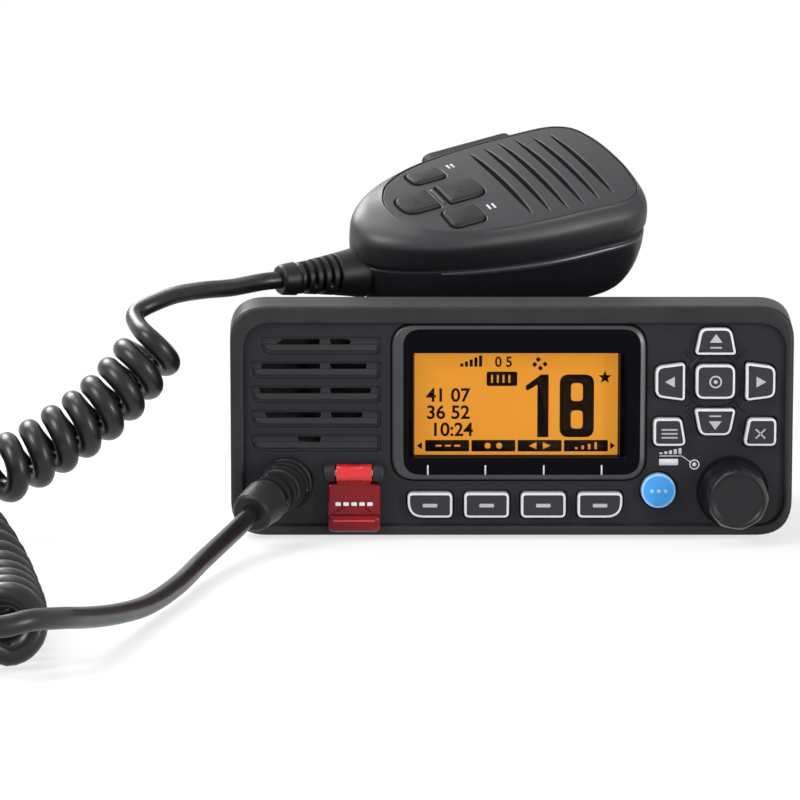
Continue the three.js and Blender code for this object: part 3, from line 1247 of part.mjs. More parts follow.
// The microphone lies on the chassis on its stud, so its height follows from the stud's lowest point
function placeMicrophone() {
  mic.rotation.set(MIC_TILT, 0, MIC_SPIN);
  const frame = studFrame();
  const down = new THREE.Vector3(0, 0, -1).applyEuler(frame.rotation);
  const end = frame.position.clone().addScaledVector(down, STUD_LENGTH);
  end.applyEuler(mic.rotation);
  down.applyEuler(mic.rotation);
  const edge = STUD_RADIUS * Math.sqrt(1 - down.z ** 2);
  mic.position.set(MIC_X, FRONT_Y + MIC_SET_BACK, CHASSIS_TOP + GAP - end.z + edge);
  mic.updateMatrixWorld(true);
}

// Cord boots: ribbed sleeves, thick at the root
const BOOT_STEM_RADIUS = CORD_DIAMETER / 2 + BOOT_WALL;

function bootSkin(curve, baseRadius, tipRadius) {
  const rows = BOOT_RIBS * 4;
  const points = [];
  const radii = [];
  for (let row = 0; row <= rows; row += 1) {
    const share = row / rows;
    const taper = baseRadius + (tipRadius - baseRadius) * Math.sqrt(share);
    const groove = row > 1 && row < rows - 1 && row % 4 < 2 ? BOOT_GROOVE : 0;
    points.push(curve.getPointAt(share));
    radii.push(taper - groove);
  }
  return tubeSkin(points, radii, PEG_SEGMENTS);
}

function fromFront([x, y, z]) {
  return new THREE.Vector3(EDGE_LEFT + x, FRONT_Y + y, z);
}

function radioBoot() {
  const base = fromFront([RADIO_BOOT_INSET, FACE - GAP, RADIO_BOOT_Z]);
  const tip = fromFront(RADIO_BOOT_TIP);
  const heading = new THREE.Vector3(...RADIO_BOOT_HEADING).normalize();
  const reach = base.distanceTo(tip) / 3;
  const curve = new THREE.CubicBezierCurve3(base, base.clone().add(new THREE.Vector3(0, -reach, 0)),
    tip.clone().addScaledVector(heading, -reach), tip);
  addPiece('radio_cord_boot', bootSkin(curve, RADIO_BOOT_RADIUS, RADIO_BOOT_TIP_RADIUS), 0x202022, 0.8);
  return { tip, heading };
}

function micBoot() {
  const root = new THREE.Vector3(MIC_CORD_END - MIC_BOOT_SPACE, 0, -MIC_BOOT_DEPTH);
  const tip = new THREE.Vector3(root.x - MIC_BOOT_LENGTH, 0, -MIC_BOOT_TIP_DEPTH);
  const curve = new THREE.LineCurve3(root, tip);
  addPiece('mic_cord_boot', bootSkin(curve, MIC_BOOT_RADIUS, MIC_BOOT_TIP_RADIUS), 0x202022, 0.8, 0, mic);
  const heading = tip.clone().sub(root).normalize().transformDirection(mic.matrixWorld);
  return { tip: tip.clone().applyMatrix4(mic.matrixWorld), heading };
}

// Centreline of the curly cord: a straight lead, left-handed curls, and a straight way out of the last one
function coilCentreline() {
  const axis = new THREE.CatmullRomCurve3(COIL_AXIS.map(fromFront), false, 'centripetal');
  const length = axis.getLength();
  const step = COIL_RADIUS / 40;
  const points = [];
  const heading = axis.getTangentAt(0);
  let side = new THREE.Vector3(...COIL_START_SIDE);
  side.addScaledVector(heading, -side.dot(heading)).normalize();
  const start = axis.getPointAt(0).addScaledVector(side, COIL_RADIUS);
  const lead = new THREE.Vector3(...COIL_LEAD_HEADING).normalize();
  points.push(start.clone().addScaledVector(lead, -CURL_CORD_DIAMETER), start);
  let angle = 0;
  let next = 0;
  for (let s = 0; s <= length && angle < COIL_CURLS * FULL_TURN; s += step) {
    const along = axis.getTangentAt(s / length);
    side = side.clone().addScaledVector(along, -side.dot(along)).normalize();
    const across = new THREE.Vector3().crossVectors(side, along);
    const blend = THREE.MathUtils.smoothstep(s, COIL_TIGHT_RUN, COIL_TIGHT_RUN + COIL_PITCH_CHANGE);
    const pitch = COIL_TIGHT_PITCH + (COIL_LOOSE_PITCH - COIL_TIGHT_PITCH) * blend;
    angle += step * FULL_TURN / pitch;
    const point = axis.getPointAt(s / length)
      .addScaledVector(side, COIL_RADIUS * Math.cos(angle))
      .addScaledVector(across, COIL_RADIUS * Math.sin(angle));
    if (angle >= next && s > 0) {
      if (next > 0) {
        points.push(point);
      }
      next += FULL_TURN / COIL_STEPS_PER_CURL;
    }
  }
  const previous = points.at(-2);
  const end = points.at(-1);
  const leave = end.clone().sub(previous).normalize();
  points.push(end.clone().addScaledVector(leave, CURL_CORD_DIAMETER));
  return { points, curls: angle / FULL_TURN };
}

// The wound cord is pressed oval, so it looks thicker than the plain stretches that it runs out into
function coilRadii(count) {
  return Array.from({ length: count }, (_, i) => {
    const swell = THREE.MathUtils.smoothstep(Math.min(i, count - 1 - i), 0, COIL_SWELL_STEPS);
    return (CORD_DIAMETER + (CURL_CORD_DIAMETER - CORD_DIAMETER) * swell) / 2;
  });
}

// Least gap of the curly cord to itself, on points along its centreline
function leastGap(points) {
  const curve = new THREE.CatmullRomCurve3(points, false, 'centripetal');
  const samples = curve.getSpacedPoints(points.length * 4);
  const spacing = curve.getLength() / (samples.length - 1);
  const skip = Math.ceil(CURL_CORD_DIAMETER * 3 / spacing);
  let least = Infinity;
  for (let i = 0; i < samples.length; i += 1) {
    for (let j = i + skip; j < samples.length; j += 1) {
      least = Math.min(least, samples[i].distanceTo(samples[j]));
    }
  }
  return least - CURL_CORD_DIAMETER;
}

function cordTube(points, steps) {
  const section = new THREE.Shape();
  for (let i = 0; i < CORD_SIDES; i += 1) {
    const angle = (i / CORD_SIDES) * FULL_TURN;
    const x = Math.cos(angle) * CORD_DIAMETER / 2;
    const y = Math.sin(angle) * CORD_DIAMETER / 2;
    if (i === 0) {
      section.moveTo(x, y);
    } else {
      section.lineTo(x, y);
    }
  }
  const path = new THREE.CatmullRomCurve3(points, false, 'centripetal');
  return closed(new THREE.ExtrudeGeometry(section, { steps, bevelEnabled: false, extrudePath: path }));
}

// Point a short way along a heading
function ahead(point, heading, distance) {
  return point.clone().addScaledVector(heading, distance);
}

function cord() {
  const radioExit = radioBoot();
  const micExit = micBoot();
  const coil = coilCentreline();
  const start = coil.points[0];
  const startHeading = coil.points[1].clone().sub(start).normalize();
  const end = coil.points.at(-1);
  const endHeading = end.clone().sub(coil.points.at(-2)).normalize();
  const coilRings = coilRadii(coil.points.length);
  addPiece('cord_coil', tubeSkin(coil.points, coilRings, COIL_SIDES), 0x1e1e20, 0.5);
  console.log(`cord coil: ${coil.curls.toFixed(1)} curls, least gap ${leastGap(coil.points).toFixed(2)} mm`);
  addPiece('cord_mic_end', cordTube([
    ahead(micExit.tip, micExit.heading, GAP), ahead(micExit.tip, micExit.heading, CORD_DIAMETER),
    ...MIC_STRETCH.map(fromFront),
    ahead(start, startHeading, -CORD_DIAMETER / 2), ahead(start, startHeading, -GAP),
  ], MIC_STRETCH_STEPS), 0x1e1e20, 0.5);
  addPiece('cord_radio_end', cordTube([
    ahead(end, endHeading, GAP), ahead(end, endHeading, CORD_DIAMETER / 2),
    ...RADIO_STRETCH.map(fromFront),
    ahead(radioExit.tip, radioExit.heading, CORD_DIAMETER), ahead(radioExit.tip, radioExit.heading, GAP),
  ], RADIO_STRETCH_STEPS), 0x1e1e20, 0.5);
}

frontPanel();
keyCaps();
display();
keyMatAndBoard();
encoder();
distressCover();
speaker();
chassis();
gasketAndScrews();
electronics();
rearFittings();
placeMicrophone();
microphone();
hangStud();
cord();

export default radio;
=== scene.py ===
import math

import bmesh
import bpy
from mathutils import Matrix, Vector, geometry

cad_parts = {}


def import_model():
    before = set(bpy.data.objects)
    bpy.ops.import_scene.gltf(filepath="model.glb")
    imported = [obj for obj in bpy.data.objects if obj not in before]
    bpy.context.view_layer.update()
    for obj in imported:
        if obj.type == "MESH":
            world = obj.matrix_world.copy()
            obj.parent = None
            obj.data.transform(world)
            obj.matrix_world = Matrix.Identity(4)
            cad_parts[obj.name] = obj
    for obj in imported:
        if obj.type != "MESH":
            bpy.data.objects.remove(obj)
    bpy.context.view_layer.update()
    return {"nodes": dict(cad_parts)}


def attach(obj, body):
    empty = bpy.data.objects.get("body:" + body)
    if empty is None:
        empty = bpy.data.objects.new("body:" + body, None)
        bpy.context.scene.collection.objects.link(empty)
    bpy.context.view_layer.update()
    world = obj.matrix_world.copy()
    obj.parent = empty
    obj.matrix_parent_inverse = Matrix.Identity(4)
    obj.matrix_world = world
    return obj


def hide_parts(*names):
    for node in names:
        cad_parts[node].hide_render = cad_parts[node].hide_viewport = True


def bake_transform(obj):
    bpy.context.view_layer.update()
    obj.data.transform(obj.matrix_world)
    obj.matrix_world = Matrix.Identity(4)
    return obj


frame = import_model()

# Shapes below are worked out in millimetres and made in metres.
MM = 0.001
FRONT_Y = -47.8
TURN = math.tau


# Points and outlines

def world(x, depth, z):
    """A point that is given by its depth behind the panel's front, in millimetres."""
    return Vector((x, FRONT_Y + depth, z))


def smooth_step(value, low, high):
    share = min(max((value - low) / (high - low), 0.0), 1.0)
    return share * share * (3 - 2 * share)


def rounded_polygon(points, radii, steps=6):
    """Closed outline whose corners are rounded, each with its own radius."""
    outline = []
    count = len(points)
    for i, point in enumerate(points):
        corner = Vector(point)
        before = (Vector(points[i - 1]) - corner).normalized()
        after = (Vector(points[(i + 1) % count]) - corner).normalized()
        half = before.angle(after) / 2
        run = radii[i] / math.tan(half)
        first = corner + before * run
        last = corner + after * run
        for k in range(steps + 1):
            t = k / steps
            outline.append(first * (1 - t) ** 2 + corner * 2 * t * (1 - t) + last * t ** 2)
    return outline


def rounded_rect(left, right, bottom, top, corner, steps=6):
    corners = [(left, bottom), (right, bottom), (right, top), (left, top)]
    return rounded_polygon(corners, [corner] * 4 if not hasattr(corner, "__len__") else corner, steps)


def circle(x, z, radius, steps=48):
    return [Vector((x + radius * math.cos(TURN * k / steps), z + radius * math.sin(TURN * k / steps)))
            for k in range(steps)]


def area(outline):
    return sum(a.x * b.y - b.x * a.y for a, b in zip(outline, outline[1:] + outline[:1])) / 2


def without_doubles(outline):
    kept = []
    for point in outline:
        if not kept or (point - kept[-1]).length > 0.004:
            kept.append(point)
    if (kept[0] - kept[-1]).length < 0.004:
        kept.pop()
    return kept


def inset(outline, distance):
    """The outline drawn inwards; a negative distance draws it outwards."""
    sign = 1 if area(outline) > 0 else -1
    moved = []
    count = len(outline)
    for i, point in enumerate(outline):
        into = (point - outline[i - 1]).normalized()
        out = (outline[(i + 1) % count] - point).normalized()
        a = Vector((-into.y, into.x))
        b = Vector((-out.y, out.x))
        middle = a + b
        middle = middle.normalized() if middle.length > 1e-6 else a
        reach = distance / max(middle.dot(a), 0.5)
        moved.append(point + middle * reach * sign)
    return moved


# Mesh building

class Skin:
    """Vertices and faces of one piece, in millimetres, with a material number for each face."""

    def __init__(self):
        self.vertices = []
        self.faces = []
        self.materials = []

    def ring(self, points):
        start = len(self.vertices)
        self.vertices.extend(points)
        return list(range(start, start + len(points)))

    def face(self, indices, material=0):
        self.faces.append(indices)
        self.materials.append(material)

    def join(self, first, second, material=0, closed=True):
        count = len(first)
        for i in range(count if closed else count - 1):
            j = (i + 1) % count
            self.face([first[i], first[j], second[j], second[i]], material)

    def cap(self, ring, material=0, flip=False):
        self.face(list(reversed(ring)) if flip else list(ring), material)

    def fan(self, ring, centre, material=0, flip=False):
        middle = self.ring([centre])[0]
        count = len(ring)
        for i in range(count):
            j = (i + 1) % count
            face = [ring[i], ring[j], middle]
            self.face(face[::-1] if flip else face, material)

    def loft(self, rings, material=0, cap_start=True, cap_end=True):
        """Skin through rings of points; one material number, or one for each gap between rings."""
        made = [self.ring(points) for points in rings]
        for i in range(len(made) - 1):
            number = material[i] if hasattr(material, "__len__") else material
            self.join(made[i], made[i + 1], number)
        first = material[0] if hasattr(material, "__len__") else material
        last = material[-1] if hasattr(material, "__len__") else material
        if cap_start:
            self.cap(made[0], first, flip=True)
        if cap_end:
            self.cap(made[-1], last)
        return made


def piece(name, skin, body, materials, nodes=(), matrix=None, sharp=40, weighted=True, shape=None):
    """A mesh object from a skin, riding on a body and standing for CAD nodes."""
    mesh = bpy.data.meshes.new(name)
    mesh.from_pydata([Vector(v) for v in skin.vertices], [], skin.faces)
    materials = materials if isinstance(materials, (list, tuple)) else [materials]
    for material in materials:
        mesh.materials.append(material)
    mesh.polygons.foreach_set("material_index", skin.materials)
    mesh.validate()
    work = bmesh.new()
    work.from_mesh(mesh)
    bmesh.ops.remove_doubles(work, verts=work.verts, dist=0.002)
    if shape:
        shape(work)
    bmesh.ops.transform(work, matrix=Matrix.Scale(MM, 4) @ (matrix or Matrix()), verts=work.verts)
    bmesh.ops.recalc_face_normals(work, faces=work.faces)
    work.to_mesh(mesh)
    work.free()
    mesh.polygons.foreach_set("use_smooth", [True] * len(mesh.polygons))
    if sharp:
        mesh.set_sharp_from_angle(angle=math.radians(sharp))
    thing = bpy.data.objects.new(name, mesh)
    bpy.context.scene.collection.objects.link(thing)
    if weighted:
        modifier = thing.modifiers.new("Normals", "WEIGHTED_NORMAL")
        modifier.keep_sharp = True
        modifier.weight = 80
    if body:
        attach(thing, body)
    if nodes:
        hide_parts(*nodes)
    return thing


def plane_points(outline, depth):
    return [world(p.x, depth, p.y) for p in outline]


def bevel_profile(bevel, steps=4):
    """Pairs of inset and depth that round an edge, from the front face to the side."""
    return [(bevel * (1 - math.sin(a)), bevel * (1 - math.cos(a)))
            for a in (math.pi / 2 * k / steps for k in range(steps + 1))]


def button(skin, outline, front, back, bevel, crown=0.0, wall=0, top=0, place=plane_points, steps=4, rim=None,
           drop=0.0):
    """A solid with a rounded front edge and a slightly domed front."""
    outline = without_doubles(outline)
    rings = [place(outline, back)]
    numbers = []
    for gap, depth in reversed(bevel_profile(bevel, steps)):
        rings.append(place(inset(outline, gap), front + crown + depth))
        numbers.append(wall)
    edge = inset(outline, bevel)
    numbers[-1] = wall
    if rim:
        edge = inset(edge, rim)
        rings.append(place(edge, front + crown))
        numbers.append(wall)
        sunk = [p + Vector((0, -drop)) for p in inset(edge, rim * 0.25 + drop)]
        rings.append(place(sunk, front + crown + rim * 0.2))
        numbers.append(top)
        edge = sunk
        front = front + rim * 0.2
    middle = sum(edge, Vector((0, 0))) / len(edge)
    for share in (0.8, 0.55, 0.28):
        rings.append(place([middle + (p - middle) * share for p in edge], front + crown * share ** 2))
        numbers.append(top)
    made = skin.loft(rings, numbers, cap_start=True, cap_end=False)
    centre = place([middle], front)[0]
    skin.fan(made[-1], centre, top)
    return made


def plate(skin, outer, holes, front, back, bevel, material=0, place=plane_points, steps=3, hole_bevel=None):
    """A flat plate with holes, its front edges rounded."""
    hole_bevel = bevel if hole_bevel is None else hole_bevel
    front_loops = []
    back_loops = []
    front_rings = []
    back_rings = []
    for number, loop in enumerate([outer] + list(holes)):
        loop = without_doubles(loop)
        size = bevel if number == 0 else hole_bevel
        sign = 1 if number == 0 else -1
        profile = bevel_profile(size, steps)
        rings = [skin.ring(place(inset(loop, gap * sign), front + depth)) for gap, depth in profile]
        rings.append(skin.ring(place(loop, back)))
        for a, b in zip(rings, rings[1:]):
            skin.join(a, b, material)
        front_loops.append(inset(loop, size * sign))
        back_loops.append(loop)
        front_rings.append(rings[0])
        back_rings.append(rings[-1])
    for loops, rings in ((front_loops, front_rings), (back_loops, back_rings)):
        flat = [index for ring in rings for index in ring]
        triangles = geometry.tessellate_polygon([[Vector((p.x, p.y, 0)) for p in loop] for loop in loops])
        for triangle in triangles:
            skin.face([flat[i] for i in triangle], material)


def tube(skin, points, radii, sides=16, material=0, caps=True, shape=None):
    """Round tube through points; the frame is carried along without twist."""
    side = None
    rings = []
    for i, point in enumerate(points):
        heading = (points[min(i + 1, len(points) - 1)] - points[max(i - 1, 0)]).normalized()
        if side is None:
            side = Vector((0, 0, 1)) if abs(heading.z) < 0.9 else Vector((1, 0, 0))
        side = (side - heading * side.dot(heading)).normalized()
        across = heading.cross(side)
        ring = []
        for k in range(sides):
            angle = TURN * k / sides
            radius = radii[i] if shape is None else shape(i, angle)
            ring.append(point + side * math.cos(angle) * radius + across * math.sin(angle) * radius)
        rings.append(ring)
    return skin.loft(rings, material, caps, caps)


def turned(skin, profile, place, segments=48, material=0):
    """Turned piece: profile points are radius and height along the axis; a closed profile makes a ring."""
    closed = profile[0] == profile[-1]
    points = profile[:-1] if closed else profile
    rings = []
    for number, (radius, height) in enumerate(points):
        if radius < 1e-6:
            rings.append(skin.ring([place(0, 0, height)]))
        else:
            rings.append(skin.ring([place(radius * math.cos(TURN * k / segments),
                                          radius * math.sin(TURN * k / segments), height)
                                    for k in range(segments)]))
    pairs = list(zip(rings, rings[1:] + rings[:1])) if closed else list(zip(rings, rings[1:]))
    for number, (a, b) in enumerate(pairs):
        value = material[number] if hasattr(material, "__len__") else material
        if len(a) == 1 and len(b) == 1:
            continue
        if len(a) == 1 or len(b) == 1:
            ring, tip = (b, a[0]) if len(a) == 1 else (a, b[0])
            for i in range(segments):
                skin.face([ring[i], ring[(i + 1) % segments], tip], value)
        else:
            skin.join(a, b, value)


def catmull_rom(points, samples):
    """Centripetal curve through points, sampled evenly along its length."""
    count = len(points)
    dense = []
    per = 60
    for i in range(count - 1):
        p1, p2 = points[i], points[i + 1]
        p0 = points[i - 1] if i > 0 else p1 * 2 - p2
        p3 = points[i + 2] if i + 2 < count else p2 * 2 - p1
        d0 = max((p1 - p0).length ** 0.5, 1e-4)
        d1 = max((p2 - p1).length ** 0.5, 1e-4)
        d2 = max((p3 - p2).length ** 0.5, 1e-4)
        t1 = ((p1 - p0) / d0 - (p2 - p0) / (d0 + d1) + (p2 - p1) / d1) * d1
        t2 = ((p2 - p1) / d1 - (p3 - p1) / (d1 + d2) + (p3 - p2) / d2) * d1
        c2 = (p2 - p1) * 3 - t1 * 2 - t2
        c3 = (p1 - p2) * 2 + t1 + t2
        for k in range(per):
            t = k / per
            dense.append(p1 + t1 * t + c2 * t * t + c3 * t ** 3)
    dense.append(points[-1].copy())
    return even(dense, samples)


def run_lengths(points):
    lengths = [0.0]
    for a, b in zip(points, points[1:]):
        lengths.append(lengths[-1] + (b - a).length)
    return lengths


def even(points, samples):
    """The same line with points evenly spaced along it."""
    lengths = run_lengths(points)
    total = lengths[-1]
    result = []
    j = 0
    for k in range(samples):
        target = total * k / (samples - 1)
        while j < len(lengths) - 2 and lengths[j + 1] < target:
            j += 1
        span = lengths[j + 1] - lengths[j]
        t = 0 if span < 1e-9 else (target - lengths[j]) / span
        result.append(points[j].lerp(points[j + 1], min(max(t, 0), 1)))
    return result


# Camera

def add_camera():
    data = bpy.data.cameras.new("Camera")
    data.sensor_width = 36
    data.sensor_fit = "HORIZONTAL"
    data.lens = 146.73
    camera = bpy.data.objects.new("Camera", data)
    camera.location = Vector((-30.9, FRONT_Y - 893.3, 148.5)) * MM
    camera.rotation_mode = "XYZ"
    camera.rotation_euler = (math.radians(90 - 7), 0, 0)
    data.clip_start = 0.05
    data.clip_end = 30
    bpy.context.scene.collection.objects.link(camera)
    bpy.context.scene.camera = camera


# Materials

def noise(tree, coordinates, scale, detail=3.0, roughness=0.6):
    node = tree.nodes.new("ShaderNodeTexNoise")
    node.inputs["Scale"].default_value = scale
    node.inputs["Detail"].default_value = detail
    node.inputs["Roughness"].default_value = roughness
    tree.links.new(coordinates, node.inputs["Vector"])
    return node.outputs["Fac"]


def ramp(tree, source, low, high, start=0.3, end=0.7):
    node = tree.nodes.new("ShaderNodeMapRange")
    node.inputs["From Min"].default_value = start
    node.inputs["From Max"].default_value = end
    node.inputs["To Min"].default_value = low
    node.inputs["To Max"].default_value = high
    tree.links.new(source, node.inputs["Value"])
    return node.outputs["Result"]


def tinted(tree, source, dark, light):
    node = tree.nodes.new("ShaderNodeMix")
    node.data_type = "RGBA"
    node.inputs["A"].default_value = (*dark, 1)
    node.inputs["B"].default_value = (*light, 1)
    tree.links.new(source, node.inputs["Factor"])
    return node.outputs["Result"]


def surface(name, colour, rough, grain=3000, bump=0.1, height=0.00002, vary=0.08, patch=60, rough_vary=0.06,
            metallic=0.0, specular=0.5, coat=0.0, coat_rough=0.1, sheen=0.0, emission=None, strength=0.0,
            transmission=0.0, ior=1.45, detail=2.0):
    """Painted, moulded or metal surface: fine grain in the bump, slow patches in colour and gloss."""
    material = bpy.data.materials.new(name)
    material.use_nodes = True
    tree = material.node_tree
    shader = tree.nodes["Principled BSDF"]
    place = tree.nodes.new("ShaderNodeTexCoord").outputs["Object"]
    fine = noise(tree, place, grain, detail)
    slow = noise(tree, place, patch, 4.0)
    dark = tuple(c * (1 - vary) for c in colour)
    light = tuple(min(c * (1 + vary), 1) for c in colour)
    mixed = tree.nodes.new("ShaderNodeMath")
    mixed.operation = "MULTIPLY_ADD"
    mixed.inputs[1].default_value = 0.5
    tree.links.new(fine, mixed.inputs[0])
    half = tree.nodes.new("ShaderNodeMath")
    half.operation = "MULTIPLY"
    half.inputs[1].default_value = 0.5
    tree.links.new(slow, half.inputs[0])
    tree.links.new(half.outputs[0], mixed.inputs[2])
    share = ramp(tree, mixed.outputs[0], 0, 1, 0.35, 0.65)
    tree.links.new(tinted(tree, share, dark, light), shader.inputs["Base Color"])
    tree.links.new(ramp(tree, slow, rough - rough_vary, rough + rough_vary), shader.inputs["Roughness"])
    if bump:
        raised = tree.nodes.new("ShaderNodeBump")
        raised.inputs["Strength"].default_value = bump
        raised.inputs["Distance"].default_value = height
        tree.links.new(fine, raised.inputs["Height"])
        tree.links.new(raised.outputs["Normal"], shader.inputs["Normal"])
    shader.inputs["Metallic"].default_value = metallic
    shader.inputs["Specular IOR Level"].default_value = specular
    shader.inputs["IOR"].default_value = ior
    shader.inputs["Coat Weight"].default_value = coat
    shader.inputs["Coat Roughness"].default_value = coat_rough
    shader.inputs["Sheen Weight"].default_value = sheen
    shader.inputs["Transmission Weight"].default_value = transmission
    if emission:
        shader.inputs["Emission Color"].default_value = (*emission, 1)
        shader.inputs["Emission Strength"].default_value = strength
    return material


MAT = {
    "rim": surface("rim_plastic", (0.014, 0.014, 0.0155), 0.5, grain=2300, bump=0.75, height=0.00009,
                   vary=0.3,
                   specular=0.28),
    "face": surface("face_plastic", (0.0125, 0.012, 0.0155), 0.42, grain=5200, bump=0.12, vary=0.08,
                    specular=0.22),
    "louvre": surface("louvre_plastic", (0.020, 0.020, 0.022), 0.45, grain=5200, bump=0.12, vary=0.08,
                      specular=0.25),
    "window": surface("window_border", (0.0016, 0.0016, 0.0028), 0.1, grain=900, bump=0.02, vary=0.1,
                      rough_vary=0.03, specular=0.05),
    # frame: lighter, shinier copy of the lens plastic for its sloped edge, a painted highlight
    "frame": surface("window_slope_painted_highlight", (0.024, 0.024, 0.027), 0.36, grain=2500, bump=0.05, specular=0.6),
    "lcd": surface("lit_screen", (0.30, 0.115, 0.010), 0.4, grain=1200, bump=0.01, vary=0.04, patch=25,
                   specular=0.1, emission=(0.60, 0.238, 0.020), strength=0.85),
    "ink": surface("screen_segments", (0.008, 0.004, 0.002), 0.5, grain=3000, bump=0.0, vary=0.15,
                   specular=0.05),
    "diffuser": surface("diffuser", (0.75, 0.73, 0.68), 0.6, bump=0.05),
    "mat": surface("silicone_mat", (0.09, 0.09, 0.10), 0.8, grain=1500, bump=0.1),
    "board": surface("board", (0.02, 0.12, 0.05), 0.4, grain=700, bump=0.15, vary=0.3, patch=200),
    "key_rim": surface("key_rim", (0.56, 0.56, 0.61), 0.32, grain=2500, bump=0.04, vary=0.04, specular=0.5),
    "key_top": surface("key_top", (0.022, 0.022, 0.024), 0.45, grain=5000, bump=0.1, specular=0.25),
    "blue": surface("blue_key", (0.040, 0.27, 0.66), 0.3, grain=2500, bump=0.04, vary=0.05, specular=0.35),
    "blue_rim": surface("blue_key_rim", (0.27, 0.48, 0.70), 0.35, grain=2500, bump=0.04, vary=0.04),
    "print": surface("printed_marks", (0.58, 0.58, 0.62), 0.5, grain=4000, bump=0.03, vary=0.05,
                     specular=0.2),
    "grey_print": surface("printed_grey", (0.36, 0.36, 0.38), 0.5, grain=4000, bump=0.03, vary=0.05,
                          specular=0.2),
    "red": surface("red_cover", (0.15, 0.003, 0.006), 0.24, grain=1100, bump=0.02, vary=0.15, specular=0.12,
                   rough_vary=0.05, coat=0.25, coat_rough=0.06),
    # Brighter copy of the cover's red: painted light on the hinge barrel and the lip's band; also the
    # distress key's red
    "red_key_and_painted_light": surface("red_barrel_painted_light", (0.52, 0.012, 0.012), 0.2, grain=1100, bump=0.02, vary=0.15,
                          specular=0.3, coat=0.6, coat_rough=0.05),
    "steel": surface("steel", (0.56, 0.56, 0.57), 0.3, grain=1800, bump=0.1, metallic=1.0),
    "cone": surface("speaker_paper", (0.010, 0.010, 0.011), 0.85, grain=1800, bump=0.5, height=0.00005,
                    specular=0.2),
    "magnet": surface("ferrite", (0.06, 0.06, 0.065), 0.45, grain=900, bump=0.1, metallic=0.7),
    "rubber": surface("rubber", (0.008, 0.008, 0.009), 0.42, grain=2600, bump=0.16, vary=0.15, specular=0.3),
    "chassis": surface("cast_chassis", (0.014, 0.014, 0.015), 0.55, grain=1500, bump=0.4, height=0.00006,
                       vary=0.2,
                       specular=0.3),
    "brass": surface("brass", (0.6, 0.43, 0.16), 0.28, grain=1500, bump=0.08, metallic=1.0),
    "tin": surface("tinned", (0.6, 0.6, 0.62), 0.34, grain=500, bump=0.06, metallic=1.0, vary=0.12),
    "module": surface("module", (0.03, 0.03, 0.034), 0.5, grain=1800, bump=0.15),
    "nickel": surface("nickel", (0.62, 0.61, 0.58), 0.38, grain=1200, bump=0.05, metallic=1.0),
    "knob": surface("knob_rubber", (0.0062, 0.0062, 0.0078), 0.3, grain=3200, bump=0.12, vary=0.1,
                    specular=0.34),
    "cord": surface("cord_jacket", (0.006, 0.006, 0.007), 0.34, grain=1400, bump=0.05, vary=0.12,
                    rough_vary=0.04,
                    specular=0.42),
    # mic and mic_rear are the same plastic: the lighter, shinier front copy and the darker rear copy are
    # painted light and shade
    "mic": surface("mic_shell", (0.016, 0.016, 0.0185), 0.46, grain=5200, bump=0.12, vary=0.08, specular=0.5),
    "mic_rear": surface("mic_rear_shell", (0.0105, 0.010, 0.0125), 0.42, grain=5200, bump=0.12, vary=0.1,
                        specular=0.3),
    # Lighter, glossier copy of the shell plastic: a painted highlight along the parting line and on the bar
    # between the pads
    "mic_highlight_strip": surface("mic_highlight_strip", (0.034, 0.034, 0.040), 0.3, grain=5200, bump=0.1, vary=0.08,
                         specular=0.6),
    "mic_key": surface("mic_key", (0.012, 0.012, 0.0135), 0.5, grain=3600, bump=0.15, vary=0.1, specular=0.3),
    # dark: near-black painted shade, laid on hollows, recess walls and backings that lie in shade
    "dark": surface("painted_shade_inside", (0.004, 0.004, 0.0045), 0.7, grain=2000, bump=0.1, specular=0.1),
}


def clear_window():
    """Clear pane: you see through it, with a mirror-like shine that grows at a slant."""
    material = bpy.data.materials.new("clear_pane")
    material.use_nodes = True
    tree = material.node_tree
    shader = tree.nodes["Principled BSDF"]
    place = tree.nodes.new("ShaderNodeTexCoord").outputs["Object"]
    slow = noise(tree, place, 40, 3.0)
    tree.links.new(ramp(tree, slow, 0.04, 0.1), shader.inputs["Roughness"])
    shader.inputs["Base Color"].default_value = (0.004, 0.004, 0.004, 1)
    shader.inputs["Specular IOR Level"].default_value = 0.2
    shader.inputs["Alpha"].default_value = 0.1
    return material


MAT["pane"] = clear_window()


# Cord: the same route as the plain one, as one tube from boot to boot

CORD_DIAMETER = 5.0
CURL_DIAMETER = 6.2
GAP = 0.3
MIC_PLACE = Vector((-4.4, 2.1, 96.18625))
MIC_TURN = Matrix.Rotation(math.radians(28.3), 4, "X") @ Matrix.Rotation(math.radians(27.7), 4, "Z")
MIC_MATRIX = Matrix.Translation(MIC_PLACE) @ MIC_TURN
MIC_CORD_END = -44.5
MIC_BOOT_ROOT = Vector((-46.2, 0, -17.3))
MIC_BOOT_TIP = Vector((-68.6, 0, -13.0))
RADIO_BOOT_TIP = world(-71.2, -23.5, 10.6)
RADIO_BOOT_HEADING = Vector((-0.386, -0.863, -0.325)).normalized()
MIC_STRETCH = [
    (-78.8, 23.5, 67.8), (-86, 22, 67.3), (-93.9, 20.8, 66.1), (-99.6, 19.8, 64.2), (-103.4, 17.6, 62.4),
]
RADIO_STRETCH = [
    (-131.9, -183.4, 14.4), (-132.6, -188.2, 15.4), (-129.4, -191.8, 14.4), (-124.4, -192, 12.6),
    (-118.5, -190.8, 12.2), (-112.3, -187, 12.9), (-106.7, -178, 11.7), (-101.9, -163, 9), (-97, -144, 6.2),
    (-91.7, -121, 4), (-86.5, -95, 3.9), (-81.5, -62, 5),
]
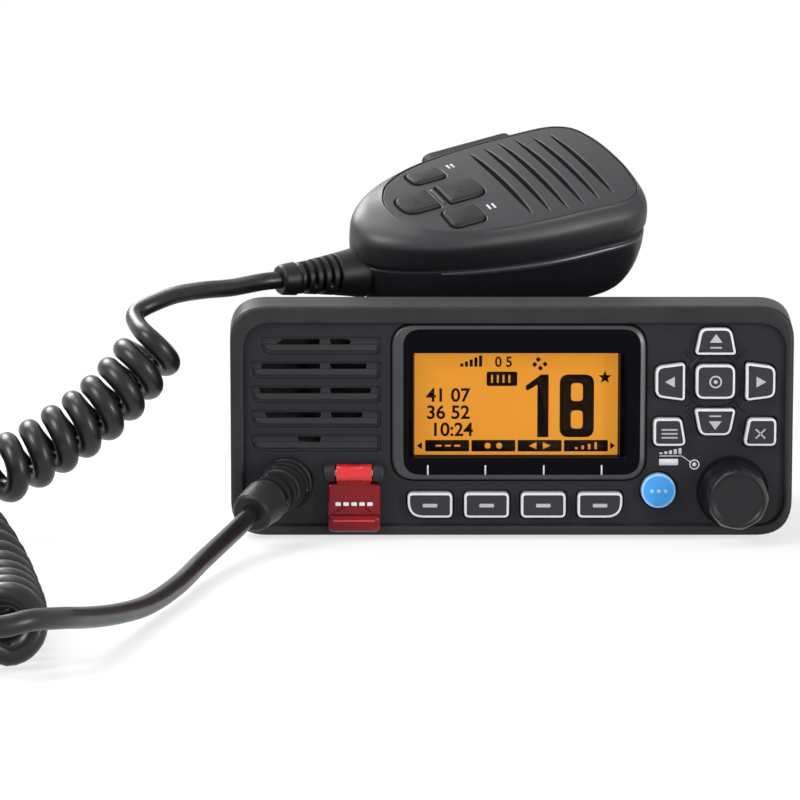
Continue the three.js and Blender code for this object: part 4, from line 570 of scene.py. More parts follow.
COIL_AXIS = [
    (-98.2, 8, 54.6), (-103.7, 5.5, 46.8), (-113.8, 0.5, 36.3), (-125.3, -4.5, 28.3), (-137.5, -10, 21.6),
    (-154, -20, 16), (-163.5, -39, 14), (-159.5, -62, 15.5), (-149.5, -77, 18), (-140.8, -89, 19),
    (-134.6, -104, 16), (-128.6, -122, 12.2), (-123.4, -145, 9.8), (-120.6, -161, 9.6), (-118, -184, 9.6),
]
COIL_RADIUS = 6.3
COIL_CURLS = 27.8
COIL_TIGHT_PITCH = 7.5
COIL_LOOSE_PITCH = 9.4
COIL_TIGHT_RUN = 46.0
COIL_PITCH_CHANGE = 16.0
COIL_START_SIDE = Vector((-0.72, 0.1, 0.7))
COIL_LEAD_HEADING = Vector((0.32, -0.88, -0.35)).normalized()
COIL_STEPS_PER_CURL = 24
SWELL_LENGTH = 30.0


def coil_line():
    """Centreline of the curls with their straight ways in and out."""
    axis = catmull_rom([world(*p) for p in COIL_AXIS], 2400)
    length = run_lengths(axis)[-1]
    step = length / (len(axis) - 1)
    side = COIL_START_SIDE.copy()
    start = None
    points = []
    angle = 0.0
    following = 0.0
    for i, centre in enumerate(axis):
        along = (axis[min(i + 1, len(axis) - 1)] - axis[max(i - 1, 0)]).normalized()
        side = (side - along * side.dot(along)).normalized()
        if start is None:
            start = centre + side * COIL_RADIUS
            points += [start - COIL_LEAD_HEADING * CURL_DIAMETER, start]
            continue
        across = side.cross(along)
        blend = smooth_step(i * step, COIL_TIGHT_RUN, COIL_TIGHT_RUN + COIL_PITCH_CHANGE)
        pitch = COIL_TIGHT_PITCH + (COIL_LOOSE_PITCH - COIL_TIGHT_PITCH) * blend
        angle += step * TURN / pitch
        point = centre + side * COIL_RADIUS * math.cos(angle) + across * COIL_RADIUS * math.sin(angle)
        if angle >= following + TURN / COIL_STEPS_PER_CURL:
            points.append(point)
            following += TURN / COIL_STEPS_PER_CURL
        if angle >= COIL_CURLS * TURN:
            break
    leave = (points[-1] - points[-2]).normalized()
    points.append(points[-1] + leave * CURL_DIAMETER)
    return points


def cord_path():
    mic_heading = MIC_TURN.to_3x3() @ (MIC_BOOT_TIP - MIC_BOOT_ROOT).normalized()
    mic_tip = MIC_MATRIX @ MIC_BOOT_TIP
    coil = coil_line()
    begin = (coil[1] - coil[0]).normalized()
    finish = (coil[-1] - coil[-2]).normalized()
    upper = catmull_rom([
        mic_tip - mic_heading * 2.0, mic_tip + mic_heading * CORD_DIAMETER, *[world(*p) for p in MIC_STRETCH],
        coil[0] - begin * CORD_DIAMETER / 2, coil[0],
    ], 60)
    lower = catmull_rom([
        coil[-1], coil[-1] + finish * CORD_DIAMETER / 2, *[world(*p) for p in RADIO_STRETCH],
        RADIO_BOOT_TIP + RADIO_BOOT_HEADING * CORD_DIAMETER, RADIO_BOOT_TIP - RADIO_BOOT_HEADING * 2.0,
    ], 260)
    return upper, coil, lower


def soften(points, passes, start, end):
    """Evens out small bends between two point numbers."""
    for _ in range(passes):
        before = [p.copy() for p in points]
        for i in range(max(start, 1), min(end, len(points) - 1)):
            points[i] = (before[i - 1] + before[i] * 2 + before[i + 1]) / 4
    return points


def add_cord():
    upper, coil, lower = cord_path()
    line = upper[:-1] + coil + lower[1:]
    first = len(upper) - 1
    last = first + len(coil) - 1
    total = run_lengths(line)
    count = int(total[-1] / 1.35)
    coil_from = total[first]
    coil_to = total[last]
    line = even(line, count)
    spacing = total[-1] / (count - 1)
    for middle in (coil_from, coil_to):
        near = int(middle / spacing)
        soften(line, 10, near - 10, near + 10)
    radii = []
    for i in range(count):
        run = i * spacing
        swell = smooth_step(min(run - coil_from, coil_to - run), 0, SWELL_LENGTH)
        radii.append((CORD_DIAMETER + (CURL_DIAMETER - CORD_DIAMETER) * swell) / 2)
    skin = Skin()
    tube(skin, line, radii, sides=20)
    thing = piece("microphone_cord", skin, None, MAT["cord"],
                  ("cord_mic_end", "cord_coil", "cord_radio_end"),
                  sharp=60, weighted=False)
    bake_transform(thing)
    return thing, line, total[-1]


add_camera()
cord, cord_line, cord_length = add_cord()


# Where the radio's pieces lie, in millimetres; depths count from the panel's front

PANEL_WIDTH = 156.5
PANEL_HEIGHT = 66.5
PANEL_DEPTH = 11.0
SIDE_DRAFT = 0.5
TOP_DRAFT = 1.8
BOTTOM_DRAFT = 1.0
PANEL_CORNER = 10.0
FACE = 1.6
FACE_BACK = 4.0
FACE_LEFT = -74.0
FACE_RIGHT = 75.4
FACE_LOW = 3.8
FACE_HIGH = 59.8
FACE_CORNER = 8.0
LENS = (-33.1, 37.0, 16.4, 59.6)
LENS_CORNER = 6.5
GLASS = (-27.25, 29.85, 22.65, 51.75)
SCREEN = (-26.9, 29.5, 23.0, 51.4)
LCD_FRONT = 4.3
NAV_X = 56.1
NAV_Z = 43.9
KEY_FRONT = -0.8
KEY_BACK = 5.1
SOFT_X = [-22.6 + 15.7 * i for i in range(4)]
SOFT_Z = 9.5
CHANNEL = (40.7, 13.5)
COVER_X = -43.6
HINGE_Z = 18.6
HINGE_DEPTH = -1.2
HINGE_RADIUS = 2.5
KNOB = (61.3, 13.1)
SPEAKER = (-54.4, 42.3)
SLOT_TOP = 55.95
SLOT_PITCH = 6.8
SLOT_HEIGHT = 4.6
SLOT_LEFT = -72.2
SLOT_RIGHT = -36.3
LOUVRE_WINDOWS = [
    [(-65.3, -53.0), (-50.4, -44.5)], [(-69.6, -52.9), (-50.4, -40.1)], [(-70.0, -52.8), (-50.4, -38.9)],
    [(-68.4, -52.7), (-50.2, -41.2)], [(-59.4, -52.8)],
]
REAR_Z = 14.5


def add_flat(skin, outline, front, back, material=0, place=plane_points):
    """A thin flat shape."""
    outline = without_doubles(outline)
    skin.loft([place(outline, back), place(outline, front)], material)


def add_bar(skin, start, end, width, front, back, material=0, place=plane_points):
    """A thin straight stroke from one point to another."""
    a, b = Vector(start), Vector(end)
    run = (b - a).normalized()
    off = Vector((-run.y, run.x)) * width / 2
    add_flat(skin, [a - off, b - off, b + off, a + off], front, back, material, place)


def add_words(skin, words, x, z, height, front, back, material=0, wide=1.0, bold=0.0):
    """Plain figures from the built-in type, laid on the panel's plane from their lower left corner."""
    curve = bpy.data.curves.new("words", "FONT")
    curve.body = words
    curve.size = 1.0
    curve.offset = bold
    thing = bpy.data.objects.new("words", curve)
    bpy.context.scene.collection.objects.link(thing)
    bpy.context.view_layer.update()
    mesh = bpy.data.meshes.new_from_object(thing.evaluated_get(bpy.context.evaluated_depsgraph_get()))
    tall = 0.69
    points = [(v.co.x * height / tall * wide + x, v.co.y * height / tall + z) for v in mesh.vertices]
    near = skin.ring([world(px, front, pz) for px, pz in points])
    for polygon in mesh.polygons:
        skin.face([near[i] for i in polygon.vertices], material)
    bpy.data.objects.remove(thing)
    bpy.data.curves.remove(curve)
    bpy.data.meshes.remove(mesh)


# Front panel

def panel_outline(depth, gap, steps=10):
    share = 1 - depth / PANEL_DEPTH
    side = PANEL_WIDTH / 2 - SIDE_DRAFT * share - gap
    bottom = BOTTOM_DRAFT * share + gap
    top = PANEL_HEIGHT - TOP_DRAFT * share - gap
    return rounded_rect(-side, side, bottom, top, PANEL_CORNER - gap, steps)


def face_outline(grow, steps=10):
    return rounded_rect(FACE_LEFT - grow, FACE_RIGHT + grow, FACE_LOW - grow, FACE_HIGH + grow,
                        FACE_CORNER + grow, steps)


def trapezium(x, z, wide_top, wide_bottom, height, margin, radii=1.5, steps=6):
    low, high = z - height / 2 - margin, z + height / 2 + margin
    top, bottom = wide_top / 2 + margin, wide_bottom / 2 + margin
    radii = [radii] * 4 if not hasattr(radii, "__len__") else radii
    return rounded_polygon([(x - bottom, low), (x + bottom, low), (x + top, high), (x - top, high)], radii,
                           steps)


def arrow_key(direction, margin):
    tops = (8.4, 11.4) if direction > 0 else (11.4, 8.4)
    radii = [1.0, 1.0, 2.4, 2.4] if direction > 0 else [2.4, 2.4, 1.0, 1.0]
    return trapezium(NAV_X, NAV_Z + direction * 11.2, *tops, 7.4, margin, radii)


def side_key(direction, margin):
    x = NAV_X + direction * 12.45
    inner, outer = 10.6 / 2 + margin, 8.5 / 2 + margin
    near = x - direction * (8.1 / 2 + margin)
    far = x + direction * (8.1 / 2 + margin)
    points = [(near, NAV_Z - inner), (far, NAV_Z - outer), (far, NAV_Z + outer), (near, NAV_Z + inner)]
    radii = [1.0, 2.4, 2.4, 1.0]
    return rounded_polygon(points, radii) if direction > 0 else rounded_polygon(points[::-1], radii[::-1])


def menu_key(direction, margin):
    x = NAV_X + direction * 12.4
    z = NAV_Z - 14.0
    half = 9.1 / 2 + margin
    low, high = z - 7.7 / 2 - margin, z + 7.7 / 2 + margin
    near, far = x - direction * half, x + direction * half
    points = [(near, low), (far, low), (far, high), (near + direction * 1.4, high)]
    return rounded_polygon(points if direction > 0 else points[::-1], [1.6] * 4)


def soft_key(number, margin):
    x = SOFT_X[number]
    radii = [1.5] * 4
    if number == 0:
        radii[0] = 4.5 + margin
    if number == 3:
        radii[1] = 4.5 + margin
    return rounded_rect(x - 6.2 - margin, x + 6.2 + margin, SOFT_Z - 3.5 - margin, SOFT_Z + 3.5 + margin,
                        radii, 8)


def slot_outline(row, gap=0.0):
    top = SLOT_TOP - row * SLOT_PITCH
    left = SLOT_LEFT + (2.75 if row == 0 else 0) + gap
    right = SLOT_RIGHT - gap
    low = top - SLOT_HEIGHT + gap
    return rounded_polygon([(left, low), (right, low), (right, top), (left, top)], [3.6 - gap, 0.7, 0.5, 0.5],
                           8)


KEY_SHAPES = {
    "key_up": ("up_key", lambda m: arrow_key(1, m)),
    "key_down": ("down_key", lambda m: arrow_key(-1, m)),
    "key_left": ("left_key", lambda m: side_key(-1, m)),
    "key_right": ("right_key", lambda m: side_key(1, m)),
    "key_enter": ("enter_key", lambda m: trapezium(NAV_X, NAV_Z, 10.8, 10.8, 9.5, m, 2.3)),
    "key_menu": ("menu_key", lambda m: menu_key(-1, m)),
    "key_clear": ("clear_key", lambda m: menu_key(1, m)),
    "key_channel": ("channel_key", lambda m: circle(*CHANNEL, 4.8 + m)),
    "soft_key_1": ("first_soft_key", lambda m: soft_key(0, m)),
    "soft_key_2": ("second_soft_key", lambda m: soft_key(1, m)),
    "soft_key_3": ("third_soft_key", lambda m: soft_key(2, m)),
    "soft_key_4": ("fourth_soft_key", lambda m: soft_key(3, m)),
}


def add_panel():
    rim = Skin()
    rings = [plane_points(face_outline(0.0), 3.4)]
    for grow, depth in ((0.0, 1.0), (0.08, 0.55), (0.28, 0.2), (0.6, 0.02), (1.0, -0.04)):
        rings.append(plane_points(face_outline(grow), depth))
    for gap, depth in ((1.1, -0.02), (0.75, 0.06), (0.42, 0.24), (0.18, 0.55), (0.04, 0.95), (0.0, 1.4)):
        rings.append(plane_points(panel_outline(depth, gap), depth))
    rings.append(plane_points(panel_outline(6.0, 0), 6.0))
    rings.append(plane_points(panel_outline(10.6, 0), 10.6))
    rings.append(plane_points(panel_outline(10.9, 0.1), 10.9))
    rings.append(plane_points(panel_outline(11.0, 0.35), 11.0))
    rings.append(plane_points(panel_outline(11.0, 2.4), 11.0))
    rings.append(plane_points(panel_outline(3.4, 2.9), 3.4))
    made = [rim.ring(points) for points in rings]
    for a, b in zip(made, made[1:] + made[:1]):
        rim.join(a, b)
    for x in (-71.5, 71.5):
        for z in (8.5, 57.0):
            turned(rim, [(1.7, 10.9), (3.2, 10.9), (3.2, 3.0), (1.7, 3.0), (1.7, 10.9)],
                   lambda a, b, h, x=x, z=z: world(x + a, h, z + b), 24)
    piece("panel_rim", rim, "radio", MAT["rim"], ("front_panel",), sharp=50)

    face = Skin()
    holes = [shape(0.35) for _, shape in KEY_SHAPES.values()]
    holes.append(trapezium(COVER_X, 8.9, 8.8, 8.8, 6.6, 0.3))
    holes.append(circle(*KNOB, 3.4))
    holes += [slot_outline(row) for row in range(5)]
    holes.append(rounded_rect(LENS[0] - 0.25, LENS[1] + 0.25, LENS[2] - 0.25, LENS[3] + 0.25, LENS_CORNER,
                              10))
    plate(face, face_outline(0.3), holes, FACE, FACE_BACK - 0.9, 0.3, hole_bevel=0.34)
    piece("panel_face", face, "radio", MAT["face"], ("front_panel",), sharp=50)

    for row in range(5):
        top = SLOT_TOP - row * SLOT_PITCH
        windows = []
        for left, right in LOUVRE_WINDOWS[row]:
            windows.append(rounded_polygon([(left + 0.45, top - 1.98), (right - 0.25, top - 1.98),
                                            (right, top - 0.5), (left, top - 0.5)], [0.3] * 4, 3))
        louvre = Skin()
        plate(louvre, slot_outline(row, 0.9), [], 0, 1.2, 0.25,
              place=lambda outline, depth, top=top: [
                  world(p.x, FACE + 0.35 + depth + 0.06 * (p.y - top + SLOT_HEIGHT), min(p.y, top - 2.02))
                  for p in outline])
        back = Skin()
        plate(back, slot_outline(row, -0.2), windows, FACE + 1.15, FACE + 1.7, 0.02, hole_bevel=0.08)
        piece(f"speaker_louvre_{row + 1}", louvre, "radio", MAT["louvre"], ("front_panel",),
              sharp=50)
        piece(f"speaker_louvre_back_{row + 1}", back, "radio", MAT["louvre"], ("front_panel",),
              sharp=50)
    # Near-black plate behind the louvre windows; its colour is painted shade
    grille = Skin()
    plate(grille, rounded_rect(-73.2, -35.4, 23.4, 57.4, 3.5), [circle(*SPEAKER, 14.6, 64)], FACE + 2.9,
          FACE + 3.6,
          0.05)
    piece("speaker_backing", grille, "radio", MAT["dark"], ("front_panel",), sharp=50)

    lugs = Skin()
    for side in (-1, 1):
        inner = COVER_X + side * (9.9 / 2 + 0.25)
        outer = COVER_X + side * 17.1 / 2
        profile = [(0, inner), (HINGE_RADIUS - 0.25, inner), (HINGE_RADIUS, inner + side * 0.25),
                   (HINGE_RADIUS, outer - side * 0.9), (HINGE_RADIUS - 0.3, outer - side * 0.35),
                   (HINGE_RADIUS - 1.0, outer), (0, outer)]
        turned(lugs, profile, lambda a, b, h: world(h, HINGE_DEPTH + a, HINGE_Z + b), 32)
        low, high = sorted((inner, outer - side * 0.6))
        block = [plane_points(rounded_rect(low, high, HINGE_Z - HINGE_RADIUS, HINGE_Z + HINGE_RADIUS, 0.5, 3),
                              d)
                 for d in (HINGE_DEPTH, FACE + 0.4)]
        lugs.loft(block)
    piece("cover_lugs", lugs, "radio", MAT["rim"], ("front_panel",), sharp=50)

    wells = Skin()
    ridge_ring(wells, circle(NAV_X, NAV_Z, 7.75, 96), 0.9, 0.5)
    for angle in (45, 135, 225, 315):
        run = Vector((math.cos(math.radians(angle)), math.sin(math.radians(angle))))
        middle = Vector((NAV_X, NAV_Z))
        add_ridge(wells, middle + run * 8.0, middle + run * 12.4, 1.1, 0.55)
    piece("key_wells", wells, "radio", MAT["face"], sharp=50)


def ridge_ring(skin, outline, width, height):
    """A low rounded ridge that follows a closed outline on the face."""
    profile = [(-width / 2, 0.1), (-width * 0.32, -height * 0.7), (0, -height), (width * 0.32, -height * 0.7),
               (width / 2, 0.1)]
    rings = [skin.ring(plane_points(inset(outline, gap), FACE + depth)) for gap, depth in profile]
    for a, b in zip(rings, rings[1:] + rings[:1]):
        skin.join(a, b)


def add_ridge(skin, start, end, width, height):
    """A low straight ridge on the face whose ends run out."""
    points = [start.lerp(end, k / 8) for k in range(9)]
    run = (end - start).normalized()
    off = Vector((-run.y, run.x))
    rings = []
    for k, p in enumerate(points):
        share = math.sin(math.pi * min(max(k / 8, 0.04), 0.96)) ** 0.5
        ring = []
        for gap, lift in ((-0.5, -0.1), (-0.3, 0.7), (0, 1), (0.3, 0.7), (0.5, -0.1)):
            q = p + off * gap * width * share
            ring.append(world(q.x, FACE - lift * height * share, q.y))
        rings.append(ring)
    skin.loft(rings)


# Display

def window_rect(left, right, low, high, corner, steps=10):
    return rounded_rect(left, right, low, high, corner, steps)


def add_display():
    lens = Skin()
    left, right, low, high = LENS
    rings = [
        (window_rect(left, right, low, high, LENS_CORNER), 3.0),
        (window_rect(left, right, low, high, LENS_CORNER), 1.2),
        (window_rect(left + 0.2, right - 0.15, low + 0.15, high - 0.15, LENS_CORNER - 0.1), 0.85),
        (window_rect(left + 0.5, right - 0.45, low + 0.4, high - 0.4, LENS_CORNER - 0.4), 0.62),
        (window_rect(left + 3.1, right - 1.5, low + 1.5, high - 1.2, LENS_CORNER - 1.5), 0.2),
        (window_rect(left + 3.5, right - 1.8, low + 1.8, high - 1.5, LENS_CORNER - 1.8), 0.16),
        (window_rect(-29.6, 32.8, 21.0, 53.4, 2.6), 0.18),
        (window_rect(-29.25, 32.4, 21.35, 53.05, 2.3), 0.42),
    ]
    made = [lens.ring(plane_points(outline, depth)) for outline, depth in rings]
    # The sloped edge rings take the lighter frame material, a painted highlight
    for number, (a, b) in enumerate(zip(made, made[1:])):
        lens.join(a, b, 1 if number in (1, 2, 3) else 0)
    glass = window_rect(*GLASS, 0.5)
    inner = lens.ring(plane_points(glass, 0.42))
    front = rings[-1][0]
    flat = made[-1] + inner
    for triangle in geometry.tessellate_polygon([[Vector((p.x, p.y, 0)) for p in loop] for loop in (front,
            glass)]):
        lens.face([flat[i] for i in triangle], 0)
    lens.cap(inner, 2)
    deep = lens.ring(plane_points(window_rect(GLASS[0] + 0.05, GLASS[1] - 0.05, GLASS[2] + 0.05,
            GLASS[3] - 0.05, 0.4),
                                  1.0))
    screen_outline = window_rect(SCREEN[0], SCREEN[1], SCREEN[2], SCREEN[3], 0.3)
    floor = lens.ring(plane_points(screen_outline, LCD_FRONT - 0.25))
    under = lens.ring(plane_points(screen_outline, LCD_FRONT - 0.2))
    # The walls from the pane down to the screen take the near-black material: painted shade in the well
    lens.join(inner, deep, 0)
    lens.join(deep, floor, 3)
    lens.join(floor, under, 3)
    back = lens.ring(plane_points(window_rect(left + 2.5, right - 2.5, low + 2.5, high - 2.5, 4.0), 3.0))
    lens.join(made[0], back, 0)
    lens.join(back, under, 3)
    piece("display_window", lens, "radio", [MAT["window"], MAT["frame"], MAT["pane"], MAT["dark"]],
          ("display_lens",), sharp=60, weighted=True)

    module = Skin()
    plate(module, window_rect(-31.1, 35.0, 18.4, 57.6, 0.4, 3), [], LCD_FRONT, LCD_FRONT + 2.0, 0.1)
    piece("display_module", module, "radio", MAT["lcd"], ("lcd_module",), sharp=50)
    add_screen_marks()


def add_screen_marks():
    """Plain figures and simple symbols on the lit screen."""
    ink = Skin()
    front, back = LCD_FRONT - 0.03, LCD_FRONT + 0.02

    def bar(x0, z0, x1, z1, width=0.34, material=0, near=front):
        add_bar(ink, (x0, z0), (x1, z1), width, near, back, material)

    def box(x0, x1, z0, z1, corner=0.25):
        add_flat(ink, rounded_rect(x0, x1, z0, z1, corner, 3), front, back)

    def shape(points, material=0, near=front):
        add_flat(ink, [Vector(p) for p in points], near, back, material)

    lit = LCD_FRONT - 0.06
    # Large channel figures
    shape([(7.2, 27.9), (10.3, 27.9), (10.3, 45.4), (8.2, 45.4), (4.0, 42.3), (4.0, 41.2), (4.6, 41.0),
           (7.2, 42.6)])
    digit = Skin()
    outer = rounded_rect(13.4, 22.9, 27.9, 45.4, 2.6, 8)
    plate(digit, outer, [rounded_rect(16.5, 19.8, 30.3, 35.4, 1.1, 6),
                         rounded_rect(16.5, 19.8, 38.0, 43.0, 1.1, 6)],
          front, back, 0.001)
    start = ink.ring(digit.vertices)[0]
    for face in digit.faces:
        ink.face([start + i for i in face], 0)
    # Star
    star = []
    for k in range(10):
        radius = 1.9 if k % 2 == 0 else 0.8
        angle = math.pi / 2 + TURN * k / 10
        star.append((25.9 + radius * math.cos(angle), 44.6 + radius * math.sin(angle)))
    shape(star)
    # Four squares set on their corners
    for x, z in ((7.4, 49.6), (9.3, 48.3), (8.0, 47.2), (6.4, 48.2)):
        shape([(x - 0.75, z), (x, z - 0.75), (x + 0.75, z), (x, z + 0.75)])
    # Signal steps and a short row of figures along the top
    for k in range(5):
        box(-14.2 + k * 1.3, -13.35 + k * 1.3, 47.6, 48.5 + k * 0.55, 0.1)
    add_words(ink, "0 5", -4.6, 47.6, 2.75, front, back, wide=0.95, bold=0.02)
    # Box with two upright bars
    box(-6.9, 1.6, 42.2, 46.2, 0.6)
    for x in (-5.4, -3.8, -2.2, -0.6):
        bar(x, 43.1, x, 45.3, 0.5, 1, lit)
    # Three rows of figures
    for words, x, z in (("41 07", -23.6, 37.9), ("36 52", -23.6, 33.1), ("10:24", -22.4, 28.3)):
        add_words(ink, words, x, z, 3.6, front, back, wide=1.02, bold=0.02)
    # Four boxes along the bottom, one for each soft key
    lows, highs = 23.9, 27.1
    for number in range(4):
        left = -23.9 + number * 12.85
        box(left, left + 12.2, lows, highs, 0.3)
        middle = left + 6.1
        if number == 0:
            for k in range(3):
                bar(middle - 3.2 + k * 2.6, 25.5, middle - 1.6 + k * 2.6, 25.5, 0.5, 1, lit)
        elif number == 1:
            for k in (-1, 1):
                add_flat(ink, circle(middle + k * 1.6, 25.5, 0.85, 20), lit, back, 1)
        elif number == 2:
            for k in (-1, 1):
                shape([(middle + k * 3.0, 25.5), (middle + k * 0.9, 26.5), (middle + k * 0.9, 24.5)], 1, lit)
        else:
            for k in range(4):
                bar(middle - 2.7 + k * 1.8, 24.5, middle - 2.7 + k * 1.8, 25.1 + k * 0.45, 0.7, 1, lit)
    shape([(-26.2, 25.5), (-24.8, 26.5), (-24.8, 24.5)])
    shape([(28.8, 25.5), (27.5, 26.5), (27.5, 24.5)])
    piece("screen_marks", ink, "radio", [MAT["ink"], MAT["lcd"]], sharp=0, weighted=False)


# Keys

def key_glyph(skin, name, x, z, front):
    """Simple symbols: arrows, a ring, bars or a cross."""
    near, back = front - 0.03, front + 0.25

    def bar(x0, z0, x1, z1, width):
        add_bar(skin, (x + x0, z + z0), (x + x1, z + z1), width, near, back, 2)

    def shape(points):
        add_flat(skin, [Vector((x + a, z + b)) for a, b in points], near, back, 2)

    if name == "key_up":
        shape([(-1.75, -0.3), (1.75, -0.3), (0.0, 2.1)])
        bar(-1.6, -1.7, 1.6, -1.7, 0.42)
    elif name == "key_down":
        shape([(1.75, 0.3), (-1.75, 0.3), (0.0, -2.1)])
        bar(-1.6, 1.7, 1.6, 1.7, 0.42)
    elif name == "key_left":
        shape([(1.2, 1.5), (1.2, -1.5), (-1.5, 0)])
    elif name == "key_right":
        shape([(-1.2, -1.5), (-1.2, 1.5), (1.5, 0)])
    elif name == "key_enter":
        ring = Skin()
        plate(ring, circle(x, z, 1.75, 32), [circle(x, z, 1.3, 32)], near, back, 0.002)
        start = skin.ring(ring.vertices)[0]
        for face in ring.faces:
            skin.face([start + i for i in face], 2)
        add_flat(skin, circle(x, z, 0.55, 20), near, back, 2)
    elif name == "key_menu":
        for k in (-1, 0, 1):
            bar(-2.2, k * 1.1 - 0.4, 2.2, k * 1.1 - 0.4, 0.42)
    elif name == "key_clear":
        bar(-1.3, -1.7, 1.3, 0.9, 0.42)
        bar(-1.3, 0.9, 1.3, -1.7, 0.42)
    elif name.startswith("soft_key"):
        add_flat(skin, rounded_rect(x - 2.0, x + 2.0, z - 0.55, z + 0.45, 0.25, 3), near, back, 2)
    elif name == "key_channel":
        for k in (-1, 0, 1):
            add_flat(skin, circle(x + k * 1.9, z, 0.55, 20), near, back, 2)


def add_keys():
    for name, (body, shape) in KEY_SHAPES.items():
        outline = shape(0)
        skin = Skin()
        blue = name == "key_channel"
        button(skin, outline, KEY_FRONT, KEY_BACK, 0.45, wall=0, top=1, rim=0.1 if blue else 0.2,
               drop=0.02 if blue else 0.2)
        xs, zs = [p.x for p in outline], [p.y for p in outline]
        x, z = (min(xs) + max(xs)) / 2, (min(zs) + max(zs)) / 2
        key_glyph(skin, name, x, z, KEY_FRONT)
        look = [MAT["blue_rim"], MAT["blue"], MAT["blue_rim"]] if blue else [MAT["key_rim"], MAT["key_top"],
                                                                             MAT["grey_print"]]
        thing = piece(name + "_cap", skin, body, look, (name,), sharp=50)
    skin = Skin()
    button(skin, trapezium(COVER_X, 8.9, 8.8, 8.8, 6.6, 0, 1.2), 0.2, KEY_BACK, 0.5, crown=0.15)
    piece("distress_key_cap", skin, "call_key", MAT["red_key_and_painted_light"], ("distress_key",), sharp=50)


def add_prints():
    marks = Skin()
    near, back = 0.16, 0.24
    for x in (-23.2, -7.3, 8.9, 24.9):
        add_bar(marks, (x, 17.9), (x, 20.6), 0.42, near, back)
    # Pointer, ring and dot beside the knob
    near, back = FACE - 0.04, FACE + 0.05
    add_bar(marks, (41.0, 23.0), (47.2, 23.0), 0.22, near, back)
    add_bar(marks, (47.2, 23.0), (49.6, 21.3), 0.22, near, back)
    ring = Skin()
    plate(ring, circle(50.7, 20.6, 1.4, 32), [circle(50.7, 20.6, 1.1, 32)], near, back, 0.002)
    start = marks.ring(ring.vertices)[0]
    for face in ring.faces:
        marks.face([start + i for i in face], 0)
    add_flat(marks, circle(50.7, 20.6, 0.6, 20), near, back)
    # Stepped wedge for loudness, and a plain tab under it
    for k in range(5):
        x = 41.0 + k * 1.3
        add_flat(marks, rounded_rect(x, x + 0.85, 23.5, 23.95 + k * 0.32, 0.05, 2), near, back)
    add_flat(marks, rounded_rect(40.9, 46.2, 20.4, 22.2, 0.3, 3), near, back)
    piece("panel_marks", marks, "radio", MAT["print"], sharp=0, weighted=False)


# Distress cover

def add_cover():
    skin = Skin()
    left, right = COVER_X - 7.3, COVER_X + 7.3
    button(skin, rounded_rect(left, right, 6.2, 15.8, [0.5, 0.5, 1.6, 1.6]), -2.2, 1.3, 0.8)
    button(skin, rounded_rect(left + 0.1, right - 0.1, 6.95, 8.0, 0.4), -2.45, 1.0, 0.4)
    lip = [(1.2, 2.0), (-0.6, 1.95), (-1.9, 2.6), (-2.75, 3.9), (-3.1, 5.2), (-3.05, 6.3), (-2.7, 6.85),
           (1.2, 6.9)]
    rings = []
    for x, gap in ((left, 1.0), (left + 0.3, 0.45), (left + 0.9, 0.1), (left + 1.6, 0.0), (right - 1.6, 0.0),
                   (right - 0.9, 0.1), (right - 0.3, 0.45), (right, 1.0)):
        middle = Vector((-0.6, 4.6))
        ring = [Vector(p) + (middle - Vector(p)).normalized() * gap for p in lip]
        rings.append([world(x, p.x, p.y) for p in ring])
    skin.loft(rings)
    # Bright red band across the lip: a painted highlight
    add_flat(skin, rounded_rect(left + 1.6, right - 1.6, 5.3, 5.75, 0.2, 3), -3.13, -2.6, 1)
    neck = [plane_points(rounded_rect(COVER_X - 4.6, COVER_X + 4.6, 14.4, HINGE_Z, 0.3, 3), d) for d in (-2.0,
            -0.6)]
    skin.loft(neck)
    half = 9.9 / 2
    profile = [(1.15, -half + 0.1), (1.3, -half), (HINGE_RADIUS - 0.2, -half), (HINGE_RADIUS, -half + 0.2),
               (HINGE_RADIUS, -2.0), (HINGE_RADIUS - 0.14, -1.85), (HINGE_RADIUS - 0.14, 1.85), (HINGE_RADIUS,
                       2.0),
               (HINGE_RADIUS, half - 0.2), (HINGE_RADIUS - 0.2, half), (1.3, half), (1.15, half - 0.1),
               (1.15, 2.0), (1.95, 1.8), (1.95, -1.8), (1.15, -2.0), (1.15, -half + 0.1)]
    # The hinge barrel takes the brighter red: painted light
    turned(skin, profile, lambda a, b, h: world(COVER_X + h, HINGE_DEPTH + a, HINGE_Z + b), 40, material=1)
    for k in range(5):
        x = COVER_X - 4.4 + k * 2.2
        add_flat(skin, rounded_rect(x - 0.75, x + 0.75, 9.6, 10.6, 0.3, 3), -2.24, -2.0, 2)
    piece("distress_cover_shell", skin, "cover", [MAT["red"], MAT["red_key_and_painted_light"], MAT["print"]],
          ("distress_cover",), sharp=50)
    wire = Skin()
    points = []
    for k in range(61):
        angle = TURN * k / 20
        points.append(world(COVER_X - 0.55 + 1.1 * k / 60, HINGE_DEPTH + 1.35 * math.cos(angle),
                            HINGE_Z + 1.35 * math.sin(angle)))
    tube(wire, points, [0.17] * len(points), 8)
    piece("cover_spring_wire", wire, "radio", MAT["steel"], ("cover_spring",), sharp=0,
          weighted=False)
    pin = Skin()
    turned(pin, [(0, -52.1), (0.7, -52.1), (1.0, -51.8), (1.0, -35.4), (0.7, -35.1), (0, -35.1)],
           lambda a, b, h: world(h, HINGE_DEPTH + a, HINGE_Z + b), 24)
    piece("hinge_pin", pin, "radio", MAT["steel"], ("cover_hinge_pin",), sharp=50)


# Volume knob

